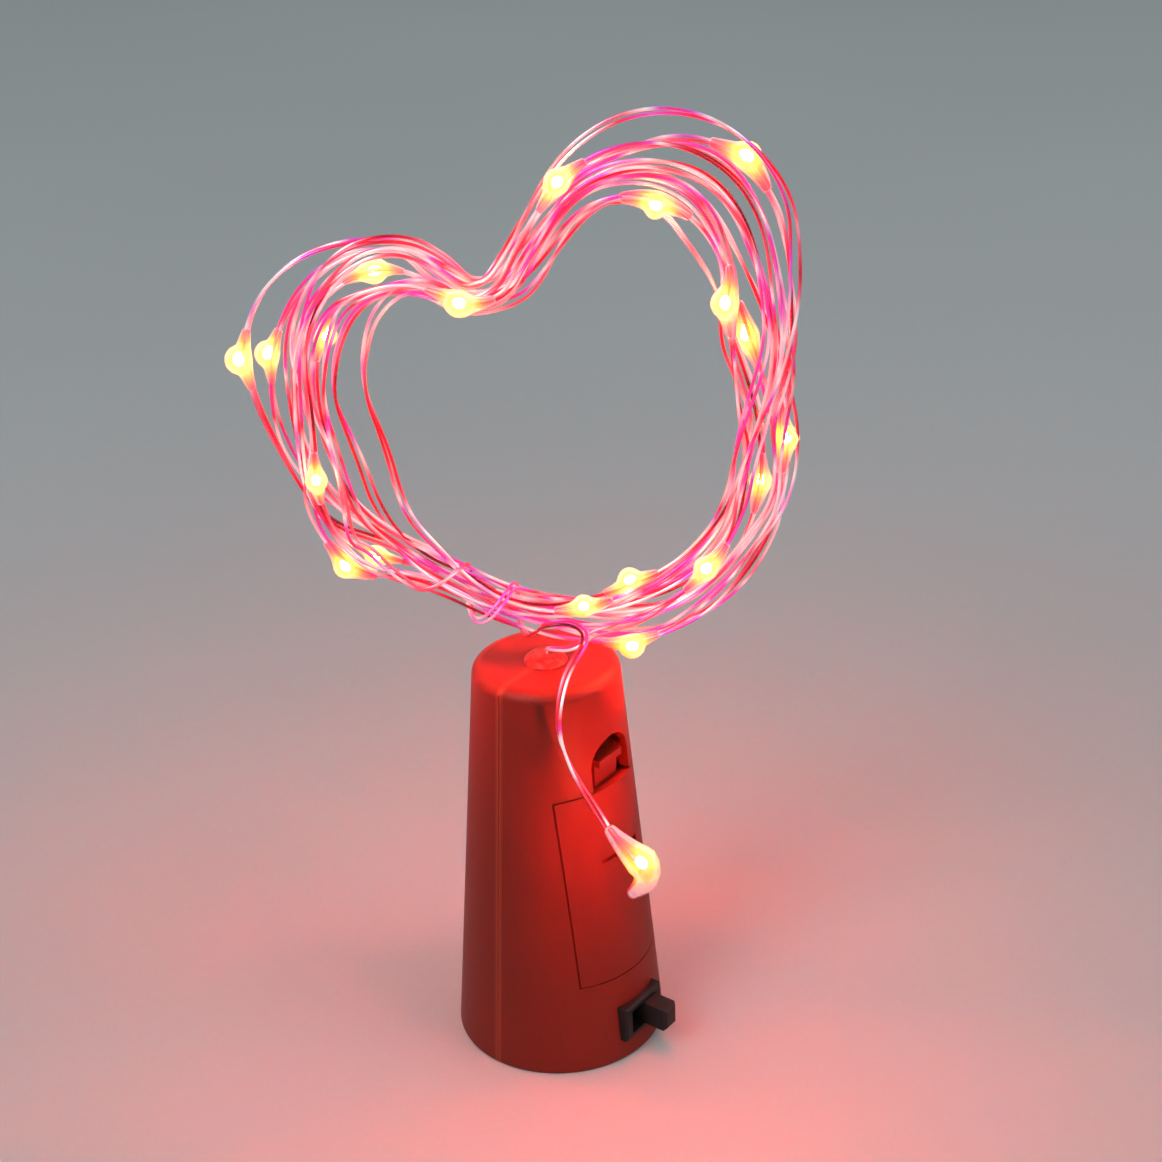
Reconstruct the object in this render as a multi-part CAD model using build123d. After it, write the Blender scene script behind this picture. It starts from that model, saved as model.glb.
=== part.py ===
from build123d import *
import math
import os

import numpy as np

# Cork bottle light: a battery stopper for a wine bottle with a wire of small
# lights wound into a heart. Millimetres, +Z up, origin at the centre of the
# stopper's base. The photo's front is -Y, and the heart stands in the XZ plane.

# Casing
BODY_HEIGHT = 45.0
BASE_RADIUS = 11.5
TOP_RADIUS = 7.7
TOP_ROUND = 1.3
BASE_ROUND = 0.3
WALL = 1.2
FLOOR = 1.4
ROOF = 1.5
BULKHEAD = 1.1
SEAM_BEVEL = 0.12
OVERRUN = 1.0
FACE_TURN_DEG = -38.0

# Heights of the rooms inside the casing
BOARD_ROOM_HEIGHT = 6.6
BAY_HEIGHT = 24.5

# Locating pegs between the two half casings
PEG_RADIUS = 0.4
PEG_LENGTH = 1.6
PEG_CLEARANCE = 0.06
PEG_SPAN_SHARE = 0.62

# Button cells
CELL_RADIUS = 5.8
CELL_THICKNESS = 5.4
CELL_COUNT = 3
CELL_CAP_RADIUS = 4.4
CELL_RIM_DEPTH = 0.35
CELL_CLEARANCE = 0.15
CRADLE_RIB = 0.8
CRADLE_RIB_SHARES = (0.14, 0.5, 0.86)

# Battery door
DOOR_BOTTOM = 10.4
DOOR_TOP = 33.2
DOOR_HALF_WIDTH = 6.8
DOOR_CUT_START = 4.5
DOOR_GAP = 0.15
DOOR_RIB = 0.9
DOOR_RIB_OFFSET = 2.5
GRIP_HEIGHT = 25.0
GRIP_WIDTH = 6.0
GRIP_OPENING = 0.7
GRIP_DEPTH = 0.5
LUG_WIDTH = 2.4
LUG_OFFSET = 3.6
LUG_THICKNESS = 1.0
LUG_DROP = 0.75
LUG_RISE = 2.0
LUG_SETBACK = 1.5
TONGUE_WIDTH = 3.8
TONGUE_THICKNESS = 0.8
TONGUE_ROOT = 1.6
TONGUE_RISE = 3.0
TONGUE_LIP = 0.7
TONGUE_GAP = 0.6

# Thumb notch above the door
NOTCH_HALF_WIDTH = 3.1
NOTCH_RISE = 5.4
NOTCH_DEPTH = 2.5
NOTCH_LINER = 0.9

# Contacts
CONTACT_SHEET = 0.3
CONTACT_LENGTH = 8.0
CONTACT_WIDTH = 6.0
CONTACT_DOME = 1.1
CONTACT_DOME_RADIUS = 1.8
CONTACT_TAB_WIDTH = 2.2
CONTACT_TAB_RISE_SHARE = 0.3
CONTACT_TAB_PLACE = 4.6
CONTACT_SLOT_CLEARANCE = 0.15
SPRING_WIRE = 0.55
SPRING_BASE_RADIUS = 4.2
SPRING_TOP_RADIUS = 2.6
SPRING_TURNS = 4
SPRING_STEPS = 8
SPRING_GAP = 0.05
SPRING_LEG_PLACE = 1.6
SPRING_LEG_DROP = 2.4
SPRING_LEG_SAG = 0.5
SPRING_LEG_HOLE = 0.5
SPRING_LEG_SHARES = (0.26, 0.6)

# Circuit board and switch
BOARD_THICKNESS = 0.8
BOARD_SETBACK = 4.91
BOARD_HALF_WIDTH = 5.2
BOARD_CLEARANCE = 0.05
SWITCH_HEIGHT = 4.6
CAN_HALF_WIDTH = 4.2
CAN_HALF_HEIGHT = 1.85
CAN_DEPTH = 2.5
CAN_SHEET = 0.3
BEZEL_HALF_WIDTH = 3.2
BEZEL_HALF_HEIGHT = 2.1
BEZEL_PROUD = 0.55
BEZEL_BEVEL = 0.25
BEZEL_CLEARANCE = 0.08
KNOB_HALF_WIDTH = 1.1
KNOB_HALF_HEIGHT = 1.35
KNOB_PROUD = 2.9
KNOB_BEVEL = 0.35
KNOB_TRAVEL = 2.0
KNOB_CLEARANCE = 0.1
KNOB_FOOT_HALF_WIDTH = 1.8
KNOB_FOOT_THICKNESS = 0.9
PIN_COUNT = 3
PIN_PITCH = 2.0
PIN_SIZE = 0.5
PIN_TAIL = 0.9
RESISTOR_LENGTH = 2.0
RESISTOR_WIDTH = 1.25
RESISTOR_THICKNESS = 0.5
RESISTOR_PLACE = 3.0

# Wiring inside the casing
CHANNEL_DEPTH = 1.3
CHANNEL_HALF_WIDTH = 1.8
CHANNEL_OFFSET = 0.9
CHANNEL_DRIFT = 0.05
INNER_LEAD_RADIUS = 0.35
BOARD_END_OFFSET = 1.8
FEED_END_HEIGHT = 6.9
FEED_SAG = 1.6
POSITIVE_END_HEIGHT = 3.6
POSITIVE_SAG = 1.2
BOARD_ROOM_SHARES = (0.25, 0.6, 0.88)
FEED_KNEE_SHARE = 0.3
FEED_BEND_SHARE = 0.72
FEED_HUMP_SHARE = 0.1
FEED_HUMP_PLACE_SHARES = (0.5,)
FEED_TAB_GAP = 1.3
EXIT_RADIUS = 1.3
GLUE_RADIUS = 2.3
GLUE_RISE = 0.7
GLUE_DEPTH = 0.8
GLUE_SHOULDER_SHARE = 0.8
GLUE_SHOULDER_RISE_SHARE = 0.75
GLUE_CROWN_SHARE = 0.33

# String of lights: two fine wires side by side, drawn as one round wire
WIRE_DIAMETER = 0.65
HEART_TURNS = 12
FIRST_TURN_DEG = 60.0
COIL_START = 0.965
COIL_END = 0.105
TIE_START = 0.078
TIE_END = 0.012
TIE_TURNS = 2
TIE_RADIUS = 3.35
TIE_EASE_TURNS = 0.5
LOOP_EDGE_SHARE = 0.5
LOOP_POWER = 6
BIARCS_PER_TIE_TURN = 8
ARC_SHARE = 0.45
NUDGE = 1e-4
STRAIGHT = 1e-9
MEASURE_STEPS = 6

# Heart's guide: X, height above the casing, half width and half depth of the
# bundle, how far the outermost and innermost turns stand off it, and its twist
HEART_FOOT = (
    (0.1, 4.8, 2.2, 2.2, 0.0, 0.0, 0.0),
)
HEART_LEFT = (
    (-7.4, 7.7, 2.2, 2.2, 0.0, 0.0, 0.0),
    (-15.1, 12.0, 2.6, 2.3, 0.0, 1.0, 20.0),
    (-20.8, 18.4, 3.2, 2.4, 0.5, 2.2, 40.0),
    (-23.6, 27.0, 3.2, 2.4, 1.8, 2.4, 60.0),
    (-22.3, 36.3, 3.2, 2.4, 2.9, 2.4, 60.0),
    (-18.3, 41.4, 2.8, 2.3, 1.8, 1.6, 50.0),
    (-12.8, 43.3, 2.3, 2.2, 0.0, 0.0, 30.0),
    (-9.2, 41.8, 2.2, 2.2, 0.0, 0.0, 10.0),
)
HEART_RIGHT = (
    (1.3, 45.2, 2.2, 2.2, 0.0, 0.0, -30.0),
    (4.5, 50.2, 2.3, 2.3, 0.6, 0.0, -40.0),
    (10.9, 52.2, 3.4, 2.4, 2.0, 0.5, -50.0),
    (17.6, 50.5, 4.4, 2.5, 1.2, 1.5, -50.0),
    (21.3, 44.7, 4.2, 2.4, 0.4, 1.6, -50.0),
    (22.8, 37.0, 3.0, 2.4, 0.8, 0.6, -40.0),
    (23.0, 28.8, 2.7, 2.4, 0.8, 0.6, 0.0),
    (23.0, 21.5, 2.6, 2.4, 0.4, 0.0, 40.0),
    (20.7, 12.9, 3.0, 2.4, 0.0, 0.0, 60.0),
    (15.6, 6.7, 3.4, 2.4, 0.0, 0.0, 60.0),
    (7.8, 4.2, 3.0, 2.3, 0.0, 0.0, 30.0),
)
DIP_X = -4.8
DIP_RISE = 44.8
DIP_RADIUS = 4.9
DIP_HALF_WIDTH = 2.2
DIP_HALF_DEPTH = 2.25
DIP_ANGLES_AND_TWISTS_DEG = ((-20.0, 0.0), (-1.0, 0.0), (18.0, 0.0), (37.0, -10.0), (56.0, -20.0))

# Free ends of the string: X, Y and height above the casing
LEAD_POINTS = (
    (1.1, -1.2, 1.75),
    (2.9, -2.75, 2.5),
)
TAIL_POINTS = (
    (-0.3, -4.4, 6.1),
    (2.2, -4.9, 6.9),
    (4.1, -5.0, 6.0),
    (4.2, -5.2, 4.4),
    (3.2, -6.0, 3.3),
    (2.0, -7.6, 1.9),
    (1.2, -9.5, -0.8),
    (1.2, -10.0, -3.5),
    (1.9, -10.6, -5.8),
    (2.9, -11.7, -7.7),
    (4.7, -14.0, -9.8),
    (6.1, -16.2, -11.4),
    (7.6, -18.0, -12.5),
    (9.2, -18.9, -14.0),
    (8.9, -18.7, -15.6),
    (7.8, -18.0, -17.2),
)

# Lamps: where each sits along the winding, in turns, then their size
LAMP_TURN_SHARES = (
    0.595, 1.365, 1.980, 2.950, 3.750, 4.200, 4.650, 5.265, 5.855, 6.190,
    6.775, 7.085, 7.830, 8.185, 9.095, 9.955, 10.690, 11.140, 11.900,
)
BEAD_RADIUS = 1.4
BEAD_HALF_LENGTH = 2.7
BEAD_END_RADIUS = 0.55
BEAD_OFFSET = 0.4
CHIP_SIZE = 0.8
CHIP_HEIGHT = 0.45

board_room_top = FLOOR + BOARD_ROOM_HEIGHT
bay_floor = board_room_top + BULKHEAD
bay_roof = bay_floor + BAY_HEIGHT
top_room_floor = bay_roof + BULKHEAD
top_room_roof = BODY_HEIGHT - ROOF
tab_rise = CONTACT_TAB_RISE_SHARE * (top_room_roof - top_room_floor)
cells_top = bay_roof - CONTACT_SHEET - CONTACT_DOME
cells_bottom = cells_top - CELL_COUNT * CELL_THICKNESS
wire_radius = WIRE_DIAMETER / 2
glue_top = BODY_HEIGHT + GLUE_RISE


def cone_radius(z):
    """Outer radius of the casing at a height."""
    return BASE_RADIUS + (TOP_RADIUS - BASE_RADIUS) * z / BODY_HEIGHT


board_front = cone_radius(SWITCH_HEIGHT) - BOARD_SETBACK


def block(x0, x1, half_y, z0, z1, y=0.0):
    """Box between two depths and two heights, half_y wide to each side of y."""
    centre = ((x0 + x1) / 2, y, (z0 + z1) / 2)
    return Pos(*centre) * Box(x1 - x0, 2 * half_y, z1 - z0)


def ring_of(profile):
    """Solid of revolution about Z from a closed outline of radius and height."""
    face = make_face(Polyline(*[(r, 0, z) for r, z in profile], close=True))
    return revolve(face, axis=Axis.Z)


def cone_between(z0, z1, inset=0.0):
    """Slice of the casing's taper between two heights, drawn in by inset."""
    return ring_of(((0, z0), (cone_radius(z0) - inset, z0), (cone_radius(z1) - inset, z1), (0, z1)))


def outer_cone():
    """The casing's outside, with its rounded top edge and its eased base edge."""
    body = cone_between(0, BODY_HEIGHT)
    rims = body.edges().filter_by(GeomType.CIRCLE).sort_by(Axis.Z)
    body = fillet(rims[-1], TOP_ROUND)
    rims = body.edges().filter_by(GeomType.CIRCLE).sort_by(Axis.Z)
    return fillet(rims[0], BASE_ROUND)


def hinge_x():
    """Depth of the hinge line, at the casing's surface below the door."""
    return cone_radius(DOOR_BOTTOM)


def hinge_z():
    return DOOR_BOTTOM + DOOR_GAP


def swing_radius():
    """From the hinge line to the top of the opening, which is rounded about it."""
    return math.hypot(DOOR_TOP - hinge_z(), hinge_x() - cone_radius(DOOR_TOP))


def door_prism(gap):
    """The straight cut through the wall that the door fills, less a gap."""
    slab = block(DOOR_CUT_START, BASE_RADIUS + OVERRUN, DOOR_HALF_WIDTH - gap,
                 DOOR_BOTTOM + gap, DOOR_TOP + OVERRUN)
    reach = Cylinder(swing_radius() - gap, 2 * BASE_RADIUS, rotation=(90, 0, 0))
    return slab & (Pos(hinge_x(), 0, hinge_z()) * reach)


def notch_prism(grow, depth):
    """D-shaped prism of the thumb notch, straight side down on the door's top."""
    half = NOTCH_HALF_WIDTH + grow
    rise = NOTCH_RISE + grow
    arch = ThreePointArc((-half, rise - half), (0, rise), (half, rise - half))
    sides = Polyline((half, rise - half), (half, -OVERRUN), (-half, -OVERRUN), (-half, rise - half))
    outline = make_face(Curve() + [arch, sides])
    start = cone_radius(DOOR_TOP + NOTCH_RISE / 2) - depth
    seat = Plane(origin=(start, 0, DOOR_TOP), x_dir=(0, 1, 0), z_dir=(1, 0, 0))
    return seat * extrude(outline, depth + 2 * OVERRUN)


def wire_channel():
    """Upright passage behind the cells for the two inner wires."""
    outside = -CELL_RADIUS - CELL_CLEARANCE
    return block(outside - CHANNEL_DEPTH, outside + WALL / 2, CHANNEL_HALF_WIDTH,
                 board_room_top - OVERRUN, top_room_floor + OVERRUN)


def cradle_ribs():
    """Ribs of the rear half that hold the cells on the casing's axis."""
    ribs = []
    stack = cells_top - cells_bottom
    for share in CRADLE_RIB_SHARES:
        z0 = cells_bottom + share * stack - CRADLE_RIB / 2
        rib = cone_between(z0, z0 + CRADLE_RIB, WALL / 2)
        rib -= Pos(0, 0, z0 + CRADLE_RIB / 2) * Cylinder(CELL_RADIUS + CELL_CLEARANCE, 2 * CRADLE_RIB)
        ribs.append(rib)
    return ribs


def peg_places():
    """Depthwise pegs across the seam: two in the floor and two in the roof."""
    places = []
    for z in (FLOOR / 2, BODY_HEIGHT - ROOF / 2):
        for side in (-1, 1):
            places.append((side * PEG_SPAN_SHARE * cone_radius(z), z))
    return places


def pegs(radius, length):
    rods = []
    for y, z in peg_places():
        rods.append(Pos(length / 2, y, z) * Cylinder(radius, length, rotation=(0, 90, 0)))
    return rods


def contact_slot(clearance):
    """Tab of the contact strip through the upper bulkhead, grown by clearance."""
    half = CONTACT_TAB_WIDTH / 2 + clearance
    front = -CONTACT_TAB_PLACE + CONTACT_SHEET
    return block(-CONTACT_TAB_PLACE - clearance, front + clearance, half,
                 bay_roof - CONTACT_SHEET, top_room_floor + tab_rise)


def casing():
    """Both halves in one: taper, rooms, ribs, exit hole and wire channel."""
    body = outer_cone()
    body -= cone_between(FLOOR, board_room_top, WALL)
    body -= cone_between(bay_floor, bay_roof, WALL)
    body -= cone_between(top_room_floor, top_room_roof, WALL)
    body += [rib & block(-BASE_RADIUS, 0, BASE_RADIUS, 0, BODY_HEIGHT) for rib in cradle_ribs()]
    body -= wire_channel()
    body -= contact_slot(CONTACT_SLOT_CLEARANCE)
    body -= Pos(0, 0, BODY_HEIGHT) * Cylinder(EXIT_RADIUS, 2 * (ROOF + OVERRUN))
    leg_place = Pos(-SPRING_LEG_PLACE, -SPRING_BASE_RADIUS, board_room_top)
    body -= leg_place * Cylinder(SPRING_LEG_HOLE, 2 * (BULKHEAD + OVERRUN))
    return body - seam_grooves()


def seam_grooves():
    """Shallow V down each side of the casing, where its two halves meet."""
    rods = []
    width = SEAM_BEVEL * math.sqrt(2)
    for side in (-1, 1):
        foot = Vector(0, side * BASE_RADIUS, 0)
        head = Vector(0, side * TOP_RADIUS, BODY_HEIGHT)
        line = Plane(origin=(foot + head) / 2, x_dir=(1, 0, 0), z_dir=head - foot)
        rods.append(line * Rot(0, 0, 45) * Box(width, width, (head - foot).length + 2 * OVERRUN))
    return rods


def front_shell(body):
    half = body & block(0, BASE_RADIUS + OVERRUN, BASE_RADIUS + OVERRUN, 0, BODY_HEIGHT)
    liner = notch_prism(NOTCH_LINER, NOTCH_DEPTH + NOTCH_LINER)
    half += liner & cone_between(bay_roof, top_room_roof, WALL / 2)
    half -= door_prism(0)
    half -= notch_prism(0, NOTCH_DEPTH)
    half -= block(board_front + CAN_DEPTH, BASE_RADIUS + OVERRUN, BEZEL_HALF_WIDTH + BEZEL_CLEARANCE,
                  SWITCH_HEIGHT - BEZEL_HALF_HEIGHT - BEZEL_CLEARANCE,
                  SWITCH_HEIGHT + BEZEL_HALF_HEIGHT + BEZEL_CLEARANCE)
    half -= pegs(PEG_RADIUS + PEG_CLEARANCE, PEG_LENGTH + PEG_CLEARANCE)
    return half


def rear_shell(body):
    half = body & block(-BASE_RADIUS - OVERRUN, 0, BASE_RADIUS + OVERRUN, 0, BODY_HEIGHT)
    return half + pegs(PEG_RADIUS, PEG_LENGTH)


def door_lug(side):
    """Hook at the door's foot that sits behind the wall below the opening."""
    y = side * LUG_OFFSET
    edge = abs(y) + LUG_WIDTH / 2
    front = math.sqrt((cone_radius(DOOR_BOTTOM) - WALL) ** 2 - edge ** 2) - 2 * DOOR_GAP
    back = front - LUG_THICKNESS
    hook = block(back, front, LUG_WIDTH / 2, DOOR_BOTTOM - LUG_DROP, DOOR_BOTTOM + LUG_RISE, y)
    bridge = block(back, front + LUG_SETBACK, LUG_WIDTH / 2, hinge_z(), DOOR_BOTTOM + LUG_RISE, y)
    return hook + bridge


def tongue():
    """Spring tongue at the door's head, with its lip for the thumb."""
    back = cone_radius(DOOR_TOP + NOTCH_RISE / 2) - NOTCH_DEPTH + TONGUE_GAP
    half = TONGUE_WIDTH / 2
    tip = DOOR_TOP + TONGUE_RISE
    root_top = DOOR_TOP - TONGUE_THICKNESS
    blade = block(back, back + TONGUE_THICKNESS, half, root_top - TONGUE_ROOT, tip)
    root = block(back, cone_radius(DOOR_TOP) - WALL / 2, half, root_top - TONGUE_ROOT, root_top)
    lip_front = back + TONGUE_THICKNESS + TONGUE_LIP
    lip = block(back, lip_front, half, tip - TONGUE_THICKNESS, tip)
    return blade + root + lip


def battery_door():
    """Flush curved door with its lugs, tongue, inner ribs and grip groove."""
    skin = cone_between(0, BODY_HEIGHT) - cone_between(0, BODY_HEIGHT, WALL)
    door = skin & door_prism(DOOR_GAP)
    door += [door_lug(-1), door_lug(1)]
    door += tongue()
    for side in (-1, 1):
        y = side * DOOR_RIB_OFFSET
        inner = math.sqrt(CELL_RADIUS ** 2 - (DOOR_RIB_OFFSET - DOOR_RIB / 2) ** 2) + CELL_CLEARANCE
        rib = block(inner, hinge_x(), DOOR_RIB / 2, cells_bottom, DOOR_TOP - NOTCH_DEPTH, y)
        door += rib & cone_between(0, BODY_HEIGHT, WALL / 2)
    z0 = GRIP_HEIGHT - GRIP_OPENING / 2
    ditch = block(0, BASE_RADIUS, GRIP_WIDTH / 2, z0, z0 + GRIP_OPENING)
    door -= ditch - cone_between(0, BODY_HEIGHT, GRIP_DEPTH)
    return door


def button_cell(index):
    """Steel can with its raised cap, standing on the one below."""
    z0 = cells_bottom + index * CELL_THICKNESS
    shoulder = z0 + CELL_RIM_DEPTH
    return ring_of(((0, z0), (CELL_CAP_RADIUS, z0), (CELL_CAP_RADIUS + CELL_RIM_DEPTH, shoulder),
                    (CELL_RADIUS, shoulder), (CELL_RADIUS, z0 + CELL_THICKNESS),
                    (0, z0 + CELL_THICKNESS)))


def positive_contact():
    """Strip under the upper bulkhead with a dome on the top cell and a tab."""
    strip = block(-CONTACT_TAB_PLACE, CONTACT_LENGTH - CONTACT_TAB_PLACE, CONTACT_WIDTH / 2,
                  bay_roof - CONTACT_SHEET, bay_roof)
    dome_top = CONTACT_DOME_RADIUS / 2
    dome = ring_of(((0, cells_top), (dome_top, cells_top),
                    (CONTACT_DOME_RADIUS, bay_roof - CONTACT_SHEET), (0, bay_roof - CONTACT_SHEET)))
    return strip + dome + contact_slot(0)


def biarc(p, u, q, v):
    """Two tangent arcs from p along u to q along v."""
    span = q - p
    total = u + v
    bend = 2 * (1 - u.dot(v))
    along = span.dot(total)
    if bend < STRAIGHT:
        reach = span.dot(span) / (4 * span.dot(v))
    else:
        reach = (math.sqrt(along * along + bend * span.dot(span)) - along) / bend
    middle = (p + q + (u - v) * reach) / 2
    heading = ((q - v * reach) - (p + u * reach)).normalized()
    return [Edge.make_tangent_arc(p, u, middle), Edge.make_tangent_arc(middle, heading, q)]


def wound_tube(place, marks, radius, stub):
    """One unbroken tube through place(mark) for every mark, with straight ends."""
    nudge = NUDGE * (marks[1] - marks[0])
    points = [place(m) for m in marks]
    ways = [(place(m + nudge) - place(m - nudge)).normalized() for m in marks]
    start = points[0] - ways[0] * stub
    end = points[-1] + ways[-1] * stub
    edges = [Edge.make_line(start, points[0])]
    for i in range(len(points) - 1):
        edges += biarc(points[i], ways[i], points[i + 1], ways[i + 1])
    edges.append(Edge.make_line(points[-1], end))
    path = Wire(edges)
    tube = sweep(Plane(origin=start, z_dir=ways[0]) * Circle(radius), path=path)
    arcs = [e.radius for e in edges if e.geom_type == GeomType.CIRCLE]
    expected = math.pi * radius ** 2 * path.length
    print("  tightest arc", round(min(arcs), 2), "length", round(path.length, 1),
          "volume share", round(tube.volume / expected, 4))
    return tube, start, -ways[0], end, ways[-1]


def least_gap(place, marks, apart, radius):
    """Least clear gap between stretches of a winding further apart than apart."""
    line = np.array([tuple(place(m)) for m in marks])
    steps = np.linalg.norm(np.diff(line, axis=0), axis=1)
    along = np.concatenate([[0.0], np.cumsum(steps)])
    least = math.inf
    for i in range(0, len(line)):
        far = along > along[i] + apart
        if far.any():
            least = min(least, np.linalg.norm(line[far] - line[i], axis=1).min())
    return least - 2 * radius


def spring_place(turn):
    """The spring's wire at a turn, from its foot at the casing's left side."""
    share = turn / SPRING_TURNS
    radius = SPRING_BASE_RADIUS + (SPRING_TOP_RADIUS - SPRING_BASE_RADIUS) * share
    angle = 2 * math.pi * turn - math.pi / 2
    low = bay_floor + SPRING_WIRE / 2 + SPRING_GAP
    high = cells_bottom - SPRING_WIRE / 2 - SPRING_GAP
    return Vector(radius * math.cos(angle), radius * math.sin(angle), low + (high - low) * share)


def spring_marks(steps):
    return [i / steps for i in range(SPRING_TURNS * steps + 1)]


def negative_spring():
    """Conical spring under the lowest cell, with its leg down to the board."""
    radius = SPRING_WIRE / 2
    print("negative_spring")
    fine = spring_marks(SPRING_STEPS * MEASURE_STEPS)
    print("  least gap", round(least_gap(spring_place, fine, 2 * SPRING_BASE_RADIUS, radius), 2))
    coil, foot, *_ = wound_tube(spring_place, spring_marks(SPRING_STEPS), radius, SPRING_WIRE)
    knee = Vector(-SPRING_LEG_PLACE, foot.Y, foot.Z)
    below = knee - Vector(0, 0, SPRING_LEG_DROP)
    board = Vector(board_front - BOARD_THICKNESS, foot.Y, below.Z - SPRING_LEG_SAG)
    way = [foot, knee, below] + hung(below, board, SPRING_LEG_SHARES, SPRING_LEG_SAG) + [board]
    return coil + tube_along("negative_spring leg", way, radius)


def circuit_board():
    """Upright board behind the switch, holed for the switch's pins."""
    board = block(board_front - BOARD_THICKNESS, board_front, BOARD_HALF_WIDTH,
                  FLOOR + BOARD_CLEARANCE, board_room_top - BOARD_CLEARANCE)
    return board - pins(0)


def pins(grow):
    """The switch's three pins, through the board and out behind it."""
    rods = []
    half = PIN_SIZE / 2 + grow
    for i in range(PIN_COUNT):
        y = (i - (PIN_COUNT - 1) / 2) * PIN_PITCH
        rods.append(block(board_front - BOARD_THICKNESS - PIN_TAIL, board_front, half,
                          SWITCH_HEIGHT - half, SWITCH_HEIGHT + half, y))
    return rods


def resistor():
    back = board_front - BOARD_THICKNESS
    low = SWITCH_HEIGHT - RESISTOR_LENGTH / 2
    return block(back - RESISTOR_THICKNESS, back, RESISTOR_WIDTH / 2, low, low + RESISTOR_LENGTH,
                 RESISTOR_PLACE)


def switch_can():
    """Folded steel housing of the switch, open to the front."""
    z0 = SWITCH_HEIGHT - CAN_HALF_HEIGHT
    z1 = SWITCH_HEIGHT + CAN_HALF_HEIGHT
    can = block(board_front, board_front + CAN_DEPTH, CAN_HALF_WIDTH, z0, z1)
    return can - block(board_front + CAN_SHEET, board_front + CAN_DEPTH + OVERRUN,
                       CAN_HALF_WIDTH - CAN_SHEET, z0 + CAN_SHEET, z1 - CAN_SHEET)


def bezel_front():
    return cone_radius(SWITCH_HEIGHT) + BEZEL_PROUD


def switch_bezel():
    """Black frame in the casing's window, slotted for the knob."""
    back = board_front + CAN_DEPTH
    frame = block(back, bezel_front(), BEZEL_HALF_WIDTH,
                  SWITCH_HEIGHT - BEZEL_HALF_HEIGHT, SWITCH_HEIGHT + BEZEL_HALF_HEIGHT)
    frame = chamfer(frame.faces().sort_by(Axis.X)[-1].edges(), BEZEL_BEVEL)
    slot_half = KNOB_HALF_WIDTH + KNOB_TRAVEL / 2 + KNOB_CLEARANCE
    slot_rise = KNOB_HALF_HEIGHT + KNOB_CLEARANCE
    return frame - block(back - OVERRUN, bezel_front() + OVERRUN, slot_half,
                         SWITCH_HEIGHT - slot_rise, SWITCH_HEIGHT + slot_rise)


def switch_knob():
    """Knob at the right end of its slot, on a foot inside the steel housing."""
    y = KNOB_TRAVEL / 2
    back = board_front + CAN_SHEET + KNOB_CLEARANCE
    foot = block(back, back + KNOB_FOOT_THICKNESS, KNOB_FOOT_HALF_WIDTH,
                 SWITCH_HEIGHT - KNOB_HALF_HEIGHT, SWITCH_HEIGHT + KNOB_HALF_HEIGHT, y)
    stem = block(back, bezel_front() + KNOB_PROUD, KNOB_HALF_WIDTH,
                 SWITCH_HEIGHT - KNOB_HALF_HEIGHT, SWITCH_HEIGHT + KNOB_HALF_HEIGHT, y)
    stem = chamfer(stem.faces().sort_by(Axis.X)[-1].edges(), KNOB_BEVEL)
    return foot + stem


def tube_along(name, points, radius):
    """Round tube on straight runs joined by arcs as large as the runs allow."""
    corners = [Vector(p) for p in points]
    radii = []
    for before, at, after in zip(corners, corners[1:], corners[2:]):
        turn = (at - before).get_angle(after - at)
        run = min((at - before).length, (after - at).length)
        radii.append(ARC_SHARE * run / math.tan(math.radians(turn) / 2))
    path = FilletPolyline(*corners, radius=radii)
    heading = (corners[1] - corners[0]).normalized()
    tube = sweep(Plane(origin=corners[0], z_dir=heading) * Circle(radius), path=path)
    share = tube.volume / (math.pi * radius ** 2 * path.length)
    print(name)
    print("  radii", [round(r, 1) for r in radii])
    print("  length", round(path.length, 1), "volume share", round(share, 4))
    return tube


def hung(start, end, shares, sag):
    """Points at shares of the way from start to end, hanging down by up to sag."""
    points = []
    for share in shares:
        drop = 4 * sag * share * (1 - share)
        points.append(start + (end - start) * share - Vector(0, 0, drop))
    return points


def feed_route():
    """The string's own way from the board up behind the cells to the exit."""
    back = -CELL_RADIUS - CELL_CLEARANCE - CHANNEL_DEPTH / 2
    room = top_room_roof - top_room_floor
    board = Vector(board_front - BOARD_THICKNESS, -BOARD_END_OFFSET, FEED_END_HEIGHT)
    foot = Vector(back, -CHANNEL_OFFSET, board_room_top)
    head = Vector(back, -CHANNEL_OFFSET + CHANNEL_DRIFT, top_room_floor)
    knee = Vector(-CONTACT_TAB_PLACE - FEED_TAB_GAP, -CHANNEL_OFFSET,
                  top_room_floor + FEED_KNEE_SHARE * room)
    bend = Vector(0, 0, top_room_floor + FEED_BEND_SHARE * room)
    way = [board] + hung(board, foot, BOARD_ROOM_SHARES, FEED_SAG) + [foot, head, knee]
    way += hung(knee, bend, FEED_HUMP_PLACE_SHARES, -FEED_HUMP_SHARE * room)
    return way + [bend, Vector(0, 0, glue_top)]


def positive_route():
    """The contact's lead from its tab down behind the cells to the board."""
    back = -CELL_RADIUS - CELL_CLEARANCE - CHANNEL_DEPTH / 2
    tab = Vector(-CONTACT_TAB_PLACE, CHANNEL_OFFSET, top_room_floor + tab_rise / 2)
    out = Vector(back, CHANNEL_OFFSET, tab.Z)
    foot = Vector(back, CHANNEL_OFFSET + CHANNEL_DRIFT, board_room_top)
    board = Vector(board_front - BOARD_THICKNESS, BOARD_END_OFFSET, POSITIVE_END_HEIGHT)
    hanging = hung(board, foot, BOARD_ROOM_SHARES, POSITIVE_SAG)
    return [tab, out, foot] + hanging[::-1] + [board]


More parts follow.
